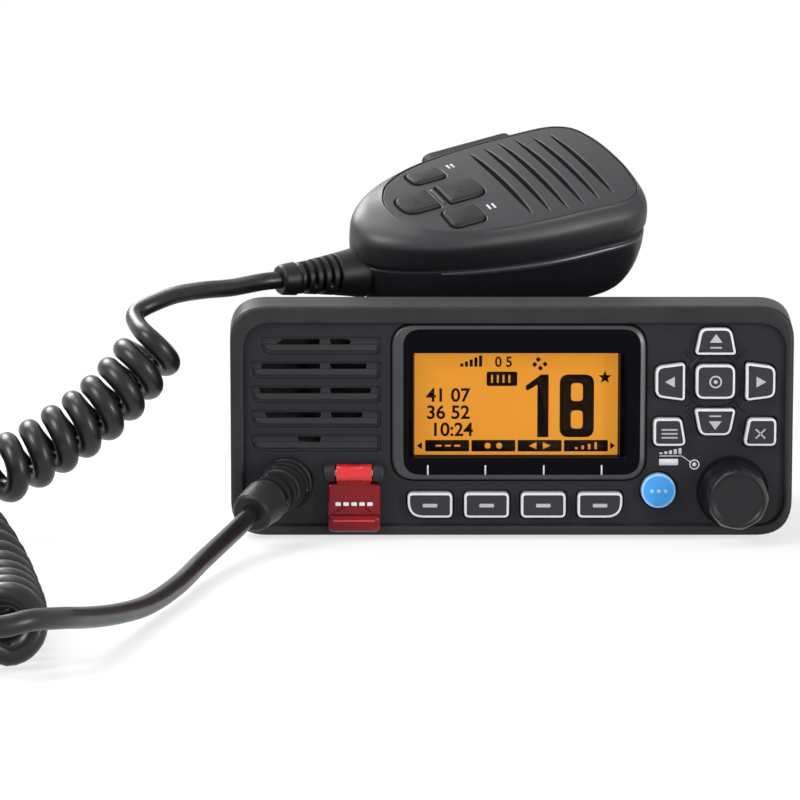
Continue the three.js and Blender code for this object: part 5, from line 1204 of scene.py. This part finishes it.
def add_knob():
    skin = Skin()

    def lobed(radius, depth, lobe):
        ring = []
        for k in range(144):
            angle = TURN * k / 144 + 0.2
            reach = radius + lobe * (math.cos(angle * 9) + 0.3 * math.cos(angle * 18))
            ring.append(world(KNOB[0] + reach * math.cos(angle), depth, KNOB[1] + reach * math.sin(angle)))
        return ring

    rings = [lobed(8.2, 0.5, 0), lobed(9.1, 0.5, 0), lobed(9.25, 0.3, 0), lobed(9.25, -0.8, 0),
             lobed(9.15, -1.2, 0),
             lobed(8.95, -1.8, 0), lobed(8.75, -2.3, 0), lobed(8.55, -2.7, 0.02), lobed(8.5, -3.1, 0.06),
             lobed(8.55, -4.0, 0.1), lobed(8.55, -7.0, 0.13), lobed(8.5, -11.6, 0.13), lobed(8.42, -12.3,
                     0.12),
             lobed(8.3, -12.9, 0.09), lobed(8.12, -13.5, 0.05), lobed(7.95, -13.9, 0.02), lobed(7.75, -14.2,
                     0),
             lobed(7.55, -14.4, 0), lobed(7.35, -14.5, 0), lobed(7.1, -14.5, 0), lobed(6.9, -14.35, 0),
             lobed(6.7, -14.05, 0), lobed(6.5, -13.95, 0), lobed(5.0, -13.97, 0), lobed(3.0, -14.0, 0),
             lobed(1.0, -14.0, 0)]
    skin.loft(rings)
    piece("knob_cap", skin, "knob", MAT["knob"], ("volume_knob",), sharp=50)
    # Near-black ring around the knob's skirt: a painted shadow
    shadow_washer = Skin()
    turned(shadow_washer, [(5.0, FACE + 0.2), (5.0, FACE - 0.25), (9.7, FACE - 0.25), (10.0, FACE - 0.1),
                    (10.1, FACE + 0.2),
                    (5.0, FACE + 0.2)], lambda a, b, h: world(KNOB[0] + a, h, KNOB[1] + b), 72)
    piece("knob_shadow_ring", shadow_washer, "radio", MAT["dark"], ("front_panel",), sharp=40)


# Cord boots

def boot_shape(base, tip, count, grooves, first, last, deep, collar, collar_from, bridge):
    """Radius of a tapered sleeve at a ring number and an angle, with staggered slots between its ribs."""
    def radius(i, angle):
        share = i / count
        value = base + (tip - base) * share ** 0.8
        value += collar * smooth_step(share, collar_from, collar_from + 0.012)
        value -= collar * 0.75 * smooth_step(share, 0.97, 1.0)
        value -= 0.35 * (1 - smooth_step(abs(share - collar_from + 0.012), 0.006, 0.016))
        for number in range(grooves):
            middle = first + (last - first) * number / (grooves - 1)
            reach = (last - first) / (grooves - 1) * 0.25
            depth = 1 - smooth_step(abs(share - middle), reach * 0.72, reach)
            wave = 1 - math.cos(angle - bridge - math.pi * (number % 2))
            value -= deep * depth * smooth_step(wave, 0.1, 0.2)
        return value
    return radius


def add_boots():
    base = world(-62.4, 1.3, 15.3)
    reach = (RADIO_BOOT_TIP - base).length / 3
    controls = [base, base + Vector((0, -reach, 0)), RADIO_BOOT_TIP - RADIO_BOOT_HEADING * reach,
                RADIO_BOOT_TIP]
    points = []
    for k in range(161):
        t = k / 160
        points.append(controls[0] * (1 - t) ** 3 + controls[1] * 3 * t * (1 - t) ** 2
                      + controls[2] * 3 * t * t * (1 - t) + controls[3] * t ** 3)
    points = even(points, 181)
    skin = Skin()
    tube(skin, points, None, 72, shape=boot_shape(7.5, 4.75, 180, 6, 0.09, 0.6, 1.5, 0.75, 0.68, 0.9))
    piece("radio_boot", skin, "radio", MAT["rubber"], ("radio_cord_boot",), sharp=60,
          weighted=False)

    root = MIC_MATRIX @ (MIC_BOOT_ROOT + (MIC_BOOT_ROOT - MIC_BOOT_TIP).normalized() * 3)
    tip = MIC_MATRIX @ MIC_BOOT_TIP
    points = [root.lerp(tip, k / 170) for k in range(171)]
    skin = Skin()
    tube(skin, points, None, 72, shape=boot_shape(7.5, 3.75, 170, 5, 0.34, 0.72, 1.5, 0.5, 0.81, 0.5))
    boot = piece("mic_boot", skin, "microphone", MAT["rubber"], ("mic_cord_boot",), sharp=60,
                 weighted=False)
    return "radio_boot", boot.name


# Microphone, in its own frame: +X from the cord to the head, +Z out of its face

MIC_HEAD_END = 42.5
MIC_HALF = 27.7
MIC_SPLIT = 12.0
MIC_THICK = 32.0
MIC_SLOPE = 0.1
STUD_X = 5.0
STUD_END = 7.6
CROWN = 1.9
HEAD_DROP = 1.5
CROWN_FADE = 9.0
CROWN_HALF = 24
HEAD_FROM = 2
HEAD_RUN = 38
FIELD_SHIFT = 0.37
TALK_PROUD = 3.2
MIC_OUTLINE = [
    (-1, 0), (-0.99, 0.15), (-0.93, 0.3), (-0.74, 0.5), (-0.54, 0.645), (-0.305, 0.776), (0.12, 0.94),
    (0.5, 0.99), (0.79, 0.975), (0.915, 0.83), (0.982, 0.48), (1, 0),
]
MIC_FACE = [
    (-1, 0), (-0.985, 0.2), (-0.93, 0.38), (-0.84, 0.57), (-0.645, 0.77), (-0.4, 0.89), (0, 0.975),
    (0.45, 1), (0.8, 0.985), (0.93, 0.84), (0.985, 0.5), (1, 0),
]
MIC_FRONT_LEVELS = [
    (0, 0.84, 0.4, 0.09), (0.12, 0.905, 0.19, 0.045), (0.33, 0.965, 0.05, 0.015), (0.66, 0.992, 0.01, 0),
    (1, 1, 0, 0),
]
MIC_REAR_LEVELS = [
    (0, 0.985, 0.01, 0.01), (0.3, 0.975, 0.01, 0.03), (0.62, 0.94, 0.03, 0.11), (0.86, 0.87, 0.09, 0.24),
    (1, 0.76, 0.2, 0.4),
]


def at_level(levels, t):
    """Smooth values between the given levels."""
    for i in range(len(levels) - 1):
        if t <= levels[i + 1][0] or i == len(levels) - 2:
            break
    a, b = levels[i], levels[i + 1]
    before = levels[i - 1] if i > 0 else a
    after = levels[i + 2] if i + 2 < len(levels) else b
    span = b[0] - a[0]
    s = (t - a[0]) / span
    values = []
    for k in range(1, 4):
        slope_a = (b[k] - before[k]) / max(b[0] - before[0], 1e-6)
        slope_b = (after[k] - a[k]) / max(after[0] - a[0], 1e-6)
        h00, h10 = 2 * s ** 3 - 3 * s * s + 1, s ** 3 - 2 * s * s + s
        h01, h11 = -2 * s ** 3 + 3 * s * s, s ** 3 - s * s
        values.append(h00 * a[k] + h10 * span * slope_a + h01 * b[k] + h11 * span * slope_b)
    return values


def face_sag(x, y, depth=0.0):
    """How far the crowned face lies behind its highest line; the crown fades out down the sides."""
    along = min(max((x - HEAD_FROM) / HEAD_RUN, 0.0), 1.0)
    return (CROWN * (y / CROWN_HALF) ** 2 + HEAD_DROP * along ** 2) * min(max(1 - depth / CROWN_FADE, 0.0),
            1.0)


def crowned(work):
    """Cuts a flat piece of the face into small fields and bends them to the crown."""
    for axis, places in ((0, range(-42, 43, 4)), (1, range(-24, 25, 3))):
        for place in places:
            point, normal = Vector(), Vector()
            point[axis], normal[axis] = place + FIELD_SHIFT, 1
            bmesh.ops.bisect_plane(work, geom=work.verts[:] + work.edges[:] + work.faces[:], plane_co=point,
                                   plane_no=normal)
    for vertex in work.verts:
        vertex.co.z -= face_sag(vertex.co.x, vertex.co.y)


def mic_ring(width, cord_draw, head_draw, face_share, depth, gap=0.0, tapered=False):
    """Closed smooth outline of the microphone, as points in its own frame."""
    low = MIC_CORD_END + cord_draw * MIC_HALF
    high = MIC_HEAD_END - head_draw * MIC_HALF
    half = MIC_HALF * width
    side = []
    for (along, across), (face_along, face_across) in zip(MIC_OUTLINE, MIC_FACE):
        x = along + (face_along - along) * face_share
        y = across + (face_across - across) * face_share
        side.append(Vector(((low + high) / 2 + x * (high - low) / 2, y * half)))
    loop = side + [Vector((p.x, -p.y)) for p in reversed(side[1:-1])]
    count = len(loop)
    smooth = []
    for i in range(count):
        p0, p1, p2, p3 = loop[i - 1], loop[i], loop[(i + 1) % count], loop[(i + 2) % count]
        d0, d1, d2 = [max(v.length ** 0.5, 1e-4) for v in (p1 - p0, p2 - p1, p3 - p2)]
        t1 = ((p1 - p0) / d0 - (p2 - p0) / (d0 + d1) + (p2 - p1) / d1) * d1
        t2 = ((p2 - p1) / d1 - (p3 - p1) / (d1 + d2) + (p3 - p2) / d2) * d1
        for k in range(6):
            t = k / 6
            smooth.append(p1 + t1 * t + ((p2 - p1) * 3 - t1 * 2 - t2) * t * t +
                          ((p1 - p2) * 2 + t1 + t2) * t ** 3)
    if gap:
        smooth = inset(smooth, gap)
    middle = (MIC_CORD_END + MIC_HEAD_END) / 2
    start = MIC_SPLIT + GAP
    share = (depth - start) / (MIC_THICK - start)
    return [Vector((p.x, p.y, -depth - (share * MIC_SLOPE * (p.x - middle) if tapered else
                                        face_sag(p.x, p.y, depth)))) for p in smooth]


def front_ring(t, gap=0.0, depth=None):
    width, cord_draw, head_draw = at_level(MIC_FRONT_LEVELS, t)
    return mic_ring(width, cord_draw, head_draw, 1 - t, MIC_SPLIT * t if depth is None else depth, gap)


def rear_ring(t, gap=0.0, depth=None):
    width, cord_draw, head_draw = at_level(MIC_REAR_LEVELS, t)
    start = MIC_SPLIT + GAP
    return mic_ring(width, cord_draw, head_draw, 0,
                    start + t * (MIC_THICK - start) if depth is None else depth,
                    gap, tapered=True)


def mic_points(outline, depth):
    return [Vector((p.x, p.y, -depth)) for p in outline]


def mic_slot(number):
    x = 2.9 + number * 5.38
    off = abs(number - 2.5)
    half = 41.6 / 2 - 0.95 * off
    outline = []
    for sign in (1, -1):
        for k in range(13):
            s = -1 + 2 * k / 12
            wide = 0.06 + 0.7 * (1 - abs(s) ** 3)
            outline.append(Vector((x + sign * wide, sign * s * half)))
    return outline


def mic_pad(low, high, round_start, margin):
    half = 4.9 + margin
    radii = [4.3, 0.7, 0.7, 4.3] if round_start else [0.7, 4.3, 4.3, 0.7]
    return rounded_polygon([(low - margin, -half), (high + margin, -half), (high + margin, half),
                            (low - margin, half)], radii, 8)


def mic_square(middle, width, margin):
    long, half = 10.8 / 2 + margin, width / 2 + margin
    x, y = middle
    return rounded_rect(x - long, x + long, y - half, y + half, 2.4, 8)


MIC_KEY_SHAPES = {
    "mic_key_down": ("mic_down_key", lambda m: mic_pad(-30.3, -19.3, True, m)),
    "mic_key_up": ("mic_up_key", lambda m: mic_pad(-16.1, -3.8, False, m)),
    "mic_key_power": ("mic_power_key", lambda m: mic_square((-15.1, 12.4), 7.2, m)),
    "mic_key_call": ("mic_call_key", lambda m: mic_square((-15.6, -11.8), 8.6, m)),
}


def cut(thing, cutter, sharp=45):
    """Takes a skin's solid out of a piece and keeps the result as its mesh."""
    mesh = bpy.data.meshes.new("cutter")
    mesh.from_pydata([v * MM for v in cutter.vertices], [], cutter.faces)
    tool = bpy.data.objects.new("cutter", mesh)
    bpy.context.scene.collection.objects.link(tool)
    modifiers = [(m.type, m.name) for m in thing.modifiers]
    thing.modifiers.clear()
    modifier = thing.modifiers.new("Cut", "BOOLEAN")
    modifier.operation = "DIFFERENCE"
    modifier.solver = "EXACT"
    modifier.object = tool
    bpy.context.view_layer.update()
    made = bpy.data.meshes.new_from_object(thing.evaluated_get(bpy.context.evaluated_depsgraph_get()))
    thing.modifiers.clear()
    made.name = thing.name
    thing.data = made
    made.polygons.foreach_set("use_smooth", [True] * len(made.polygons))
    made.set_sharp_from_angle(angle=math.radians(sharp))
    if modifiers:
        normal = thing.modifiers.new("Normals", "WEIGHTED_NORMAL")
        normal.keep_sharp = True
        normal.weight = 80
    bpy.data.objects.remove(tool)


def talk_outline(margin):
    return rounded_rect(-7 - margin, 23 + margin, -19 - margin, -5 + margin, 3 + margin, 8)


def talk_points(outline, y):
    return [Vector((p.x, y, p.y)) for p in outline]


def add_microphone():
    pocket = Skin()
    pocket.loft([[MIC_MATRIX @ p for p in talk_points(talk_outline(0.35), y)] for y in (MIC_HALF - 9.4,
            MIC_HALF + 9)])

    shell = Skin()
    rings = [front_ring(0, 2.0, 2.5), front_ring(0, 0.45, 2.5), front_ring(0, 0.0, 2.4),
             front_ring(0, -0.01, 0.1),
             front_ring(0, -0.05, -0.1), front_ring(0, -0.16, -0.2), front_ring(0, -0.32, -0.2),
             front_ring(0, -0.44, -0.06)]
    for t in (0.05, 0.09, 0.13, 0.18, 0.24, 0.31, 0.39, 0.48, 0.58, 0.68, 0.78, 0.87, 0.94):
        rings.append(front_ring(t))
    rings += [front_ring(0.985, 0.02), front_ring(1, 0.18, MIC_SPLIT), front_ring(1, 3.0, MIC_SPLIT)]
    # The recess floor behind the face plate and its walls take the near-black material: painted shade inside
    # the shell
    numbers = [1, 1, 1] + [0] * (len(rings) - 4)
    shell.loft(rings, numbers)
    shell.materials[-2] = 1
    thing = piece("mic_front", shell, "microphone", [MAT["mic"], MAT["dark"]], ("mic_front_shell",),
                  matrix=MIC_MATRIX, sharp=50)
    cut(thing, pocket)

    face = Skin()
    outline = [Vector((p.x, p.y)) for p in front_ring(0, 0.12)]
    holes = [shape(0.3) for _, shape in MIC_KEY_SHAPES.values()] + [mic_slot(i) for i in range(6)]
    plate(face, outline, holes, 0, 2.0, 0.3, place=mic_points, hole_bevel=0.4)
    piece("mic_face", face, "microphone", MAT["mic"], ("mic_front_shell",), matrix=MIC_MATRIX,
          sharp=50,
          shape=crowned)
    cloth = Skin()
    plate(cloth, rounded_rect(0.5, 32.5, -22, 22, 3), [], 2.05, 2.3, 0.02, place=mic_points)
    piece("mic_cloth", cloth, "microphone", MAT["cone"], ("mic_front_shell",), matrix=MIC_MATRIX,
          sharp=50,
          shape=crowned)

    rear = Skin()
    rings = [rear_ring(0, 3.0), rear_ring(0, 1.1), rear_ring(0.0, 1.0), rear_ring(0.055, 0.85),
             rear_ring(0.07, 0.3),
             rear_ring(0.09, 0.05)]
    for t in (0.14, 0.22, 0.3, 0.4, 0.5, 0.6, 0.7, 0.78, 0.85, 0.91, 0.96):
        rings.append(rear_ring(t))
    rings += [rear_ring(0.99, 0.25), rear_ring(1, 1.2)]
    rear.loft(rings)
    thing = piece("mic_rear", rear, "microphone", MAT["mic_rear"], ("mic_rear_shell",),
                  matrix=MIC_MATRIX,
                  sharp=50)
    cut(thing, pocket)

    # A light tube along the rear shell below the split: a painted highlight
    strip = Skin()
    for sign in (-1, 1):
        edge = [p for p in rear_ring(0.12, 0.25) if p.y * sign > 0 and -26 < p.x < 37]
        edge.sort(key=lambda p: p.x)
        if sign > 0:
            edge = [p for p in edge if p.x > 24.5]
        points = even(edge, 60)
        radii = [0.12 + 0.95 * math.sin(math.pi * min(max(k / 59, 0.0), 1.0)) ** 0.25 for k in range(60)]
        tube(strip, points, radii, 12)
    piece("mic_highlight_strip", strip, "microphone", MAT["mic_highlight_strip"], matrix=MIC_MATRIX, sharp=0,
          weighted=False)

    for name, (body, shape) in MIC_KEY_SHAPES.items():
        key = Skin()
        button(key, shape(0), -1.0, 1.6, 0.9, crown=0.22, place=mic_points, steps=6)
        outline = shape(0)
        xs, ys = [p.x for p in outline], [p.y for p in outline]
        x, y = (min(xs) + max(xs)) / 2, (min(ys) + max(ys)) / 2
        if name in ("mic_key_down", "mic_key_up"):
            sign = 1 if name == "mic_key_up" else -1
            for side in (-1, 1):
                add_bar(key, (x - 0.5 * sign, y + side * 1.5), (x + 0.5 * sign, y), 0.3, -1.04, -0.5, 0,
                        mic_points)
        piece(name + "_cap", key, body, MAT["mic_key"], (name,), matrix=MIC_MATRIX, sharp=50,
              shape=crowned)

    talk = Skin()
    outline = talk_outline(0)
    rings = [talk_points(outline, MIC_HALF - 7)]
    for gap, depth in reversed(bevel_profile(1.3, 5)):
        rings.append(talk_points(inset(outline, gap), MIC_HALF + TALK_PROUD - depth))
    middle = sum(outline, Vector((0, 0))) / len(outline)
    edge = inset(outline, 1.3)
    rings.append(talk_points([middle + (p - middle) * 0.6 for p in edge], MIC_HALF + TALK_PROUD))
    talk.loft(rings)
    for k in range(5):
        x = 2 + k * 3
        points = [Vector((x, MIC_HALF + TALK_PROUD, z)) for z in (-16, -14, -12, -10, -8)]
        tube(talk, points, [0.25, 0.45, 0.5, 0.45, 0.25], 10)
    piece("mic_talk_key", talk, "talk_key", MAT["mic_key"], ("mic_ptt",), matrix=MIC_MATRIX,
          sharp=50)

    slope = math.atan(MIC_SLOPE)
    middle = (MIC_CORD_END + MIC_HEAD_END) / 2
    depth = MIC_THICK + MIC_SLOPE * (STUD_X - middle)
    seat = Matrix.Translation(Vector((STUD_X, 0, -depth))) @ Matrix.Rotation(slope, 4, "Y")
    stud = Skin()
    turned(stud, [(0, -STUD_END), (5.7, -STUD_END), (6.3, 0.25 - STUD_END), (6.5, 0.8 - STUD_END),
                  (6.5, 2.2 - STUD_END), (6.2, 2.7 - STUD_END), (4.4, 3.1 - STUD_END), (3.6, 3.7 - STUD_END),
                  (3.6, -0.9), (4.2, -0.2), (4.6, 0.6), (0, 0.6)], lambda a, b, h: Vector((a, b, h)), 48)
    piece("mic_stud", stud, "microphone", MAT["mic_rear"], ("mic_hang_stud",),
          matrix=MIC_MATRIX @ seat,
          sharp=50)

    marks = Skin()
    for x, y in ((-6.6, 14.2), (-5.2, 14.2), (-7.0, -11.0), (-5.4, -11.0)):
        add_flat(marks, rounded_rect(x - 0.35, x + 0.35, y - 1.2, y + 1.2, 0.2, 3), -0.04, 0.2, 0, mic_points)
    # The raised bar between the pads takes the light strip material: a painted highlight
    add_flat(marks, rounded_rect(-18.1, -17.3, -4.3, 4.3, 0.35, 3), -0.3, 0.2, 1, mic_points)
    piece("mic_marks", marks, "microphone", [MAT["print"], MAT["mic_highlight_strip"]], matrix=MIC_MATRIX,
          sharp=0,
          weighted=False, shape=crowned)


# Chassis and the rear fittings

def dress(name, material, bevel=0.0):
    """A plain node keeps its shape and gets a finish, with its edges eased."""
    thing = frame["nodes"][name]
    thing.data.materials.clear()
    thing.data.materials.append(material)
    if bevel:
        flat = thing.modifiers.new("Flat", "DECIMATE")
        flat.decimate_type = "DISSOLVE"
        flat.angle_limit = math.radians(1)
        edge = thing.modifiers.new("Edge", "BEVEL")
        edge.width = bevel * MM
        edge.segments = 3
        edge.limit_method = "ANGLE"
        edge.angle_limit = math.radians(35)
        edge.use_clamp_overlap = True
        edge.harden_normals = True


def add_rear():
    dress("chassis", MAT["chassis"], 0.35)
    for name, look in (("panel_gasket", "rubber"), ("main_board", "board"), ("shield_can", "tin"),
                       ("amplifier_module", "module"), ("speaker_frame", "magnet"), ("speaker_cone", "cone"),
                       ("speaker_magnet", "magnet"), ("keypad_mat", "mat"), ("key_board", "board"),
                       ("backlight", "diffuser"), ("encoder_body", "module"), ("encoder_rotor", "diffuser"),
                       ("encoder_shaft", "steel"), ("mic_board", "board"), ("mic_capsule", "cone")):
        dress(name, MAT[look])

    def rearward(x, z):
        return lambda a, b, h: world(x + a, h, z + b)

    socket = Skin()
    profile = [(0, 82.3), (7.0, 82.3), (7.0, 88.3), (10.7, 88.3), (11.0, 88.6), (11.0, 90.0), (10.7, 90.3),
               (8.6, 90.3), (7.9, 90.9)]
    for k in range(15):
        profile += [(7.45, 91.2 + k * 1.2), (7.9, 91.8 + k * 1.2)]
    profile = [p for p in profile if p[1] < 109.2] + [(7.55, 109.4), (7.7, 109.9), (7.5, 110.1), (6.7, 110.1),
                                                      (6.6, 109.9), (6.6, 108.6)]
    turned(socket, profile + [(0, 108.6)], rearward(-42, REAR_Z), 64)
    cup = [(0, 108.55), (6.55, 108.55), (6.55, 108.9), (2.4, 108.9), (2.2, 108.7), (1.9, 104.0), (0, 104.0)]
    turned(socket, cup, rearward(-42, REAR_Z), 48, material=1)
    piece("antenna_connector", socket, "radio", [MAT["nickel"], MAT["diffuser"]],
          ("antenna_socket",),
          sharp=35)

    for name, node, x, radius, flange, bore, length in (
            ("power_grommet", "power_gland", 42, 6.0, 8.0, 2.6, 13), ("accessory_grommet", "accessory_gland",
                    6, 4.6,
                                                                      6.2, 1.9, 9)):
        gland = Skin()
        seat = 88.3
        tip = (radius + bore) / 2
        profile = [(bore, seat - 5), (radius, seat - 5), (radius, seat), (flange - 0.3, seat),
                   (flange, seat + 0.3),
                   (flange, seat + 1.6), (flange - 0.5, seat + 2.0), (radius, seat + 2.0)]
        ribs = int((length - 2.6) / 1.5)
        for k in range(ribs):
            share = (k + 0.5) / ribs
            outer = radius + (tip - radius) * share
            height = seat + 2.3 + k * 1.5
            profile += [(outer - 0.6, height), (outer - 0.6, height + 0.5), (outer, height + 0.7),
                        (outer, height + 1.3)]
        profile += [(tip, seat + length - 0.3), (tip - 0.3, seat + length), (bore + 0.3, seat + length),
                    (bore, seat + length - 0.3), (bore, seat - 5)]
        turned(gland, profile, rearward(x, REAR_Z), 48)
        piece(name, gland, "radio", MAT["rubber"], (node,), sharp=35)

    for number, (x, z) in enumerate([(-71.5, 8.5), (-71.5, 57.0), (71.5, 8.5), (71.5, 57.0)]):
        screw = Skin()
        seat = 15.9
        turned(screw, [(0, 5.9), (1.1, 5.9), (1.5, 6.4), (1.5, seat), (2.8, seat), (2.8, seat + 1.1),
                       (2.55, seat + 1.7), (2.0, seat + 2.1), (0, seat + 2.2)], rearward(x, z), 32)
        piece(f"case_screw_head_{number + 1}", screw, "radio", MAT["steel"],
              (f"case_screw_{number + 1}",), sharp=40)
        # A near-black cross nearly flush with the head: painted shade for the cross recess
        cross_shade = Skin()
        for wide, tall in ((0.32, 1.5), (1.5, 0.32)):
            cross_shade.loft([[world(x + a, d, z + b) for a, b in ((-wide, -tall), (wide, -tall), (wide, tall),
                                                               (-wide, tall))] for d in (seat + 1.9,
                                                                       seat + 2.23)])
        piece(f"case_screw_cross_shade_{number + 1}", cross_shade, "radio", MAT["dark"], sharp=40)

    for side, name in ((-1, "bracket_insert_left"), (1, "bracket_insert_right")):
        insert = Skin()
        profile = [(2.1, 62), (3.7, 62), (4.0, 62.3), (4.0, 67.6), (3.8, 67.8), (2.6, 67.8), (2.1, 67.3),
                   (2.1, 62)]
        turned(insert, profile, lambda a, b, h, side=side: world(side * h, 50 + a, 32 + b), 40)
        piece(name + "_ring", insert, "radio", MAT["brass"], (name,), sharp=40)


add_panel()
add_display()
add_keys()
add_prints()
add_cover()
add_knob()
boots = add_boots()
add_microphone()
add_rear()


# Studio

AMBIENT = 0.4
FLOOR_WHITE = 0.72
FLOOR_NEAR = 0.25
FLOOR_FAR = 0.45


def ray_share(tree, share):
    """How much of the plain white the camera, mirrors and glass see."""
    path = tree.nodes.new("ShaderNodeLightPath")
    total = path.outputs["Is Camera Ray"]
    for name in ("Is Glossy Ray", "Is Transmission Ray"):
        add = tree.nodes.new("ShaderNodeMath")
        add.operation = "ADD"
        add.use_clamp = True
        tree.links.new(total, add.inputs[0])
        tree.links.new(path.outputs[name], add.inputs[1])
        total = add.outputs[0]
    scale = tree.nodes.new("ShaderNodeMath")
    scale.operation = "MULTIPLY"
    scale.inputs[1].default_value = share
    tree.links.new(total, scale.inputs[0])
    return scale.outputs[0]


def add_world():
    sky = bpy.data.worlds.new("Studio")
    bpy.context.scene.world = sky
    sky.use_nodes = True
    tree = sky.node_tree
    dim = tree.nodes["Background"]
    dim.inputs["Color"].default_value = (0.94, 0.96, 1.0, 1)
    dim.inputs["Strength"].default_value = AMBIENT
    white = tree.nodes.new("ShaderNodeBackground")
    white.inputs["Color"].default_value = (1, 1, 1, 1)
    white.inputs["Strength"].default_value = 1.0
    mix = tree.nodes.new("ShaderNodeMixShader")
    tree.links.new(ray_share(tree, 1.0), mix.inputs[0])
    tree.links.new(dim.outputs[0], mix.inputs[1])
    tree.links.new(white.outputs[0], mix.inputs[2])
    tree.links.new(mix.outputs[0], tree.nodes["World Output"].inputs["Surface"])


def add_floor():
    mesh = bpy.data.meshes.new("floor")
    size = 12.0
    corners = [(-size, -size, 0), (size, -size, 0), (size, size, 0), (-size, size, 0)]
    mesh.from_pydata(corners, [], [(0, 1, 2, 3)])
    floor = bpy.data.objects.new("floor", mesh)
    floor.location = (0, 0, -0.0002)
    bpy.context.scene.collection.objects.link(floor)
    material = bpy.data.materials.new("floor")
    material.use_nodes = True
    tree = material.node_tree
    shader = tree.nodes["Principled BSDF"]
    shader.inputs["Base Color"].default_value = (0.93, 0.93, 0.93, 1)
    shader.inputs["Roughness"].default_value = 0.9
    shader.inputs["Specular IOR Level"].default_value = 0.2
    white = tree.nodes.new("ShaderNodeEmission")
    white.inputs["Color"].default_value = (1, 1, 1, 1)
    white.inputs["Strength"].default_value = 1.0
    # The floor keeps its shadow near the object and turns plain white further out
    place = tree.nodes.new("ShaderNodeTexCoord").outputs["Object"]
    length = tree.nodes.new("ShaderNodeVectorMath")
    length.operation = "LENGTH"
    tree.links.new(place, length.inputs[0])
    reach = ramp(tree, length.outputs["Value"], FLOOR_WHITE, 1.0, FLOOR_NEAR, FLOOR_FAR)
    near = tree.nodes.new("ShaderNodeMath")
    near.operation = "MULTIPLY"
    tree.links.new(ray_share(tree, 1.0), near.inputs[0])
    tree.links.new(reach, near.inputs[1])
    mix = tree.nodes.new("ShaderNodeMixShader")
    tree.links.new(near.outputs[0], mix.inputs[0])
    tree.links.new(shader.outputs[0], mix.inputs[1])
    tree.links.new(white.outputs[0], mix.inputs[2])
    tree.links.new(mix.outputs[0], tree.nodes["Material Output"].inputs["Surface"])
    mesh.materials.append(material)


def add_lamp(name, place, aim, size, energy, colour=(1, 1, 1), spread=180):
    data = bpy.data.lights.new(name, "AREA")
    data.shape = "RECTANGLE"
    data.size, data.size_y = size
    data.energy = energy
    data.color = colour
    data.spread = math.radians(spread)
    lamp = bpy.data.objects.new(name, data)
    lamp.location = place
    lamp.rotation_mode = "QUATERNION"
    lamp.rotation_quaternion = (Vector(aim) - Vector(place)).to_track_quat("-Z", "Y")
    bpy.context.scene.collection.objects.link(lamp)


bpy.context.scene.view_settings.view_transform = "Standard"
add_world()
add_floor()
add_lamp("top", (-0.3, 0.0, 1.0), (0, 0, 0.08), (0.5, 0.4), 3)
add_lamp("left", (-0.8, -0.62, 0.7), (-0.03, 0, 0.05), (0.45, 0.45), 10)
add_lamp("back", (-0.5, 0.55, 0.7), (-0.03, 0, 0.1), (0.45, 0.4), 9)
add_lamp("right", (0.85, -0.78, 0.2), (0, 0, 0.05), (0.1, 0.5), 8)

[p * MM for p in cord_line]
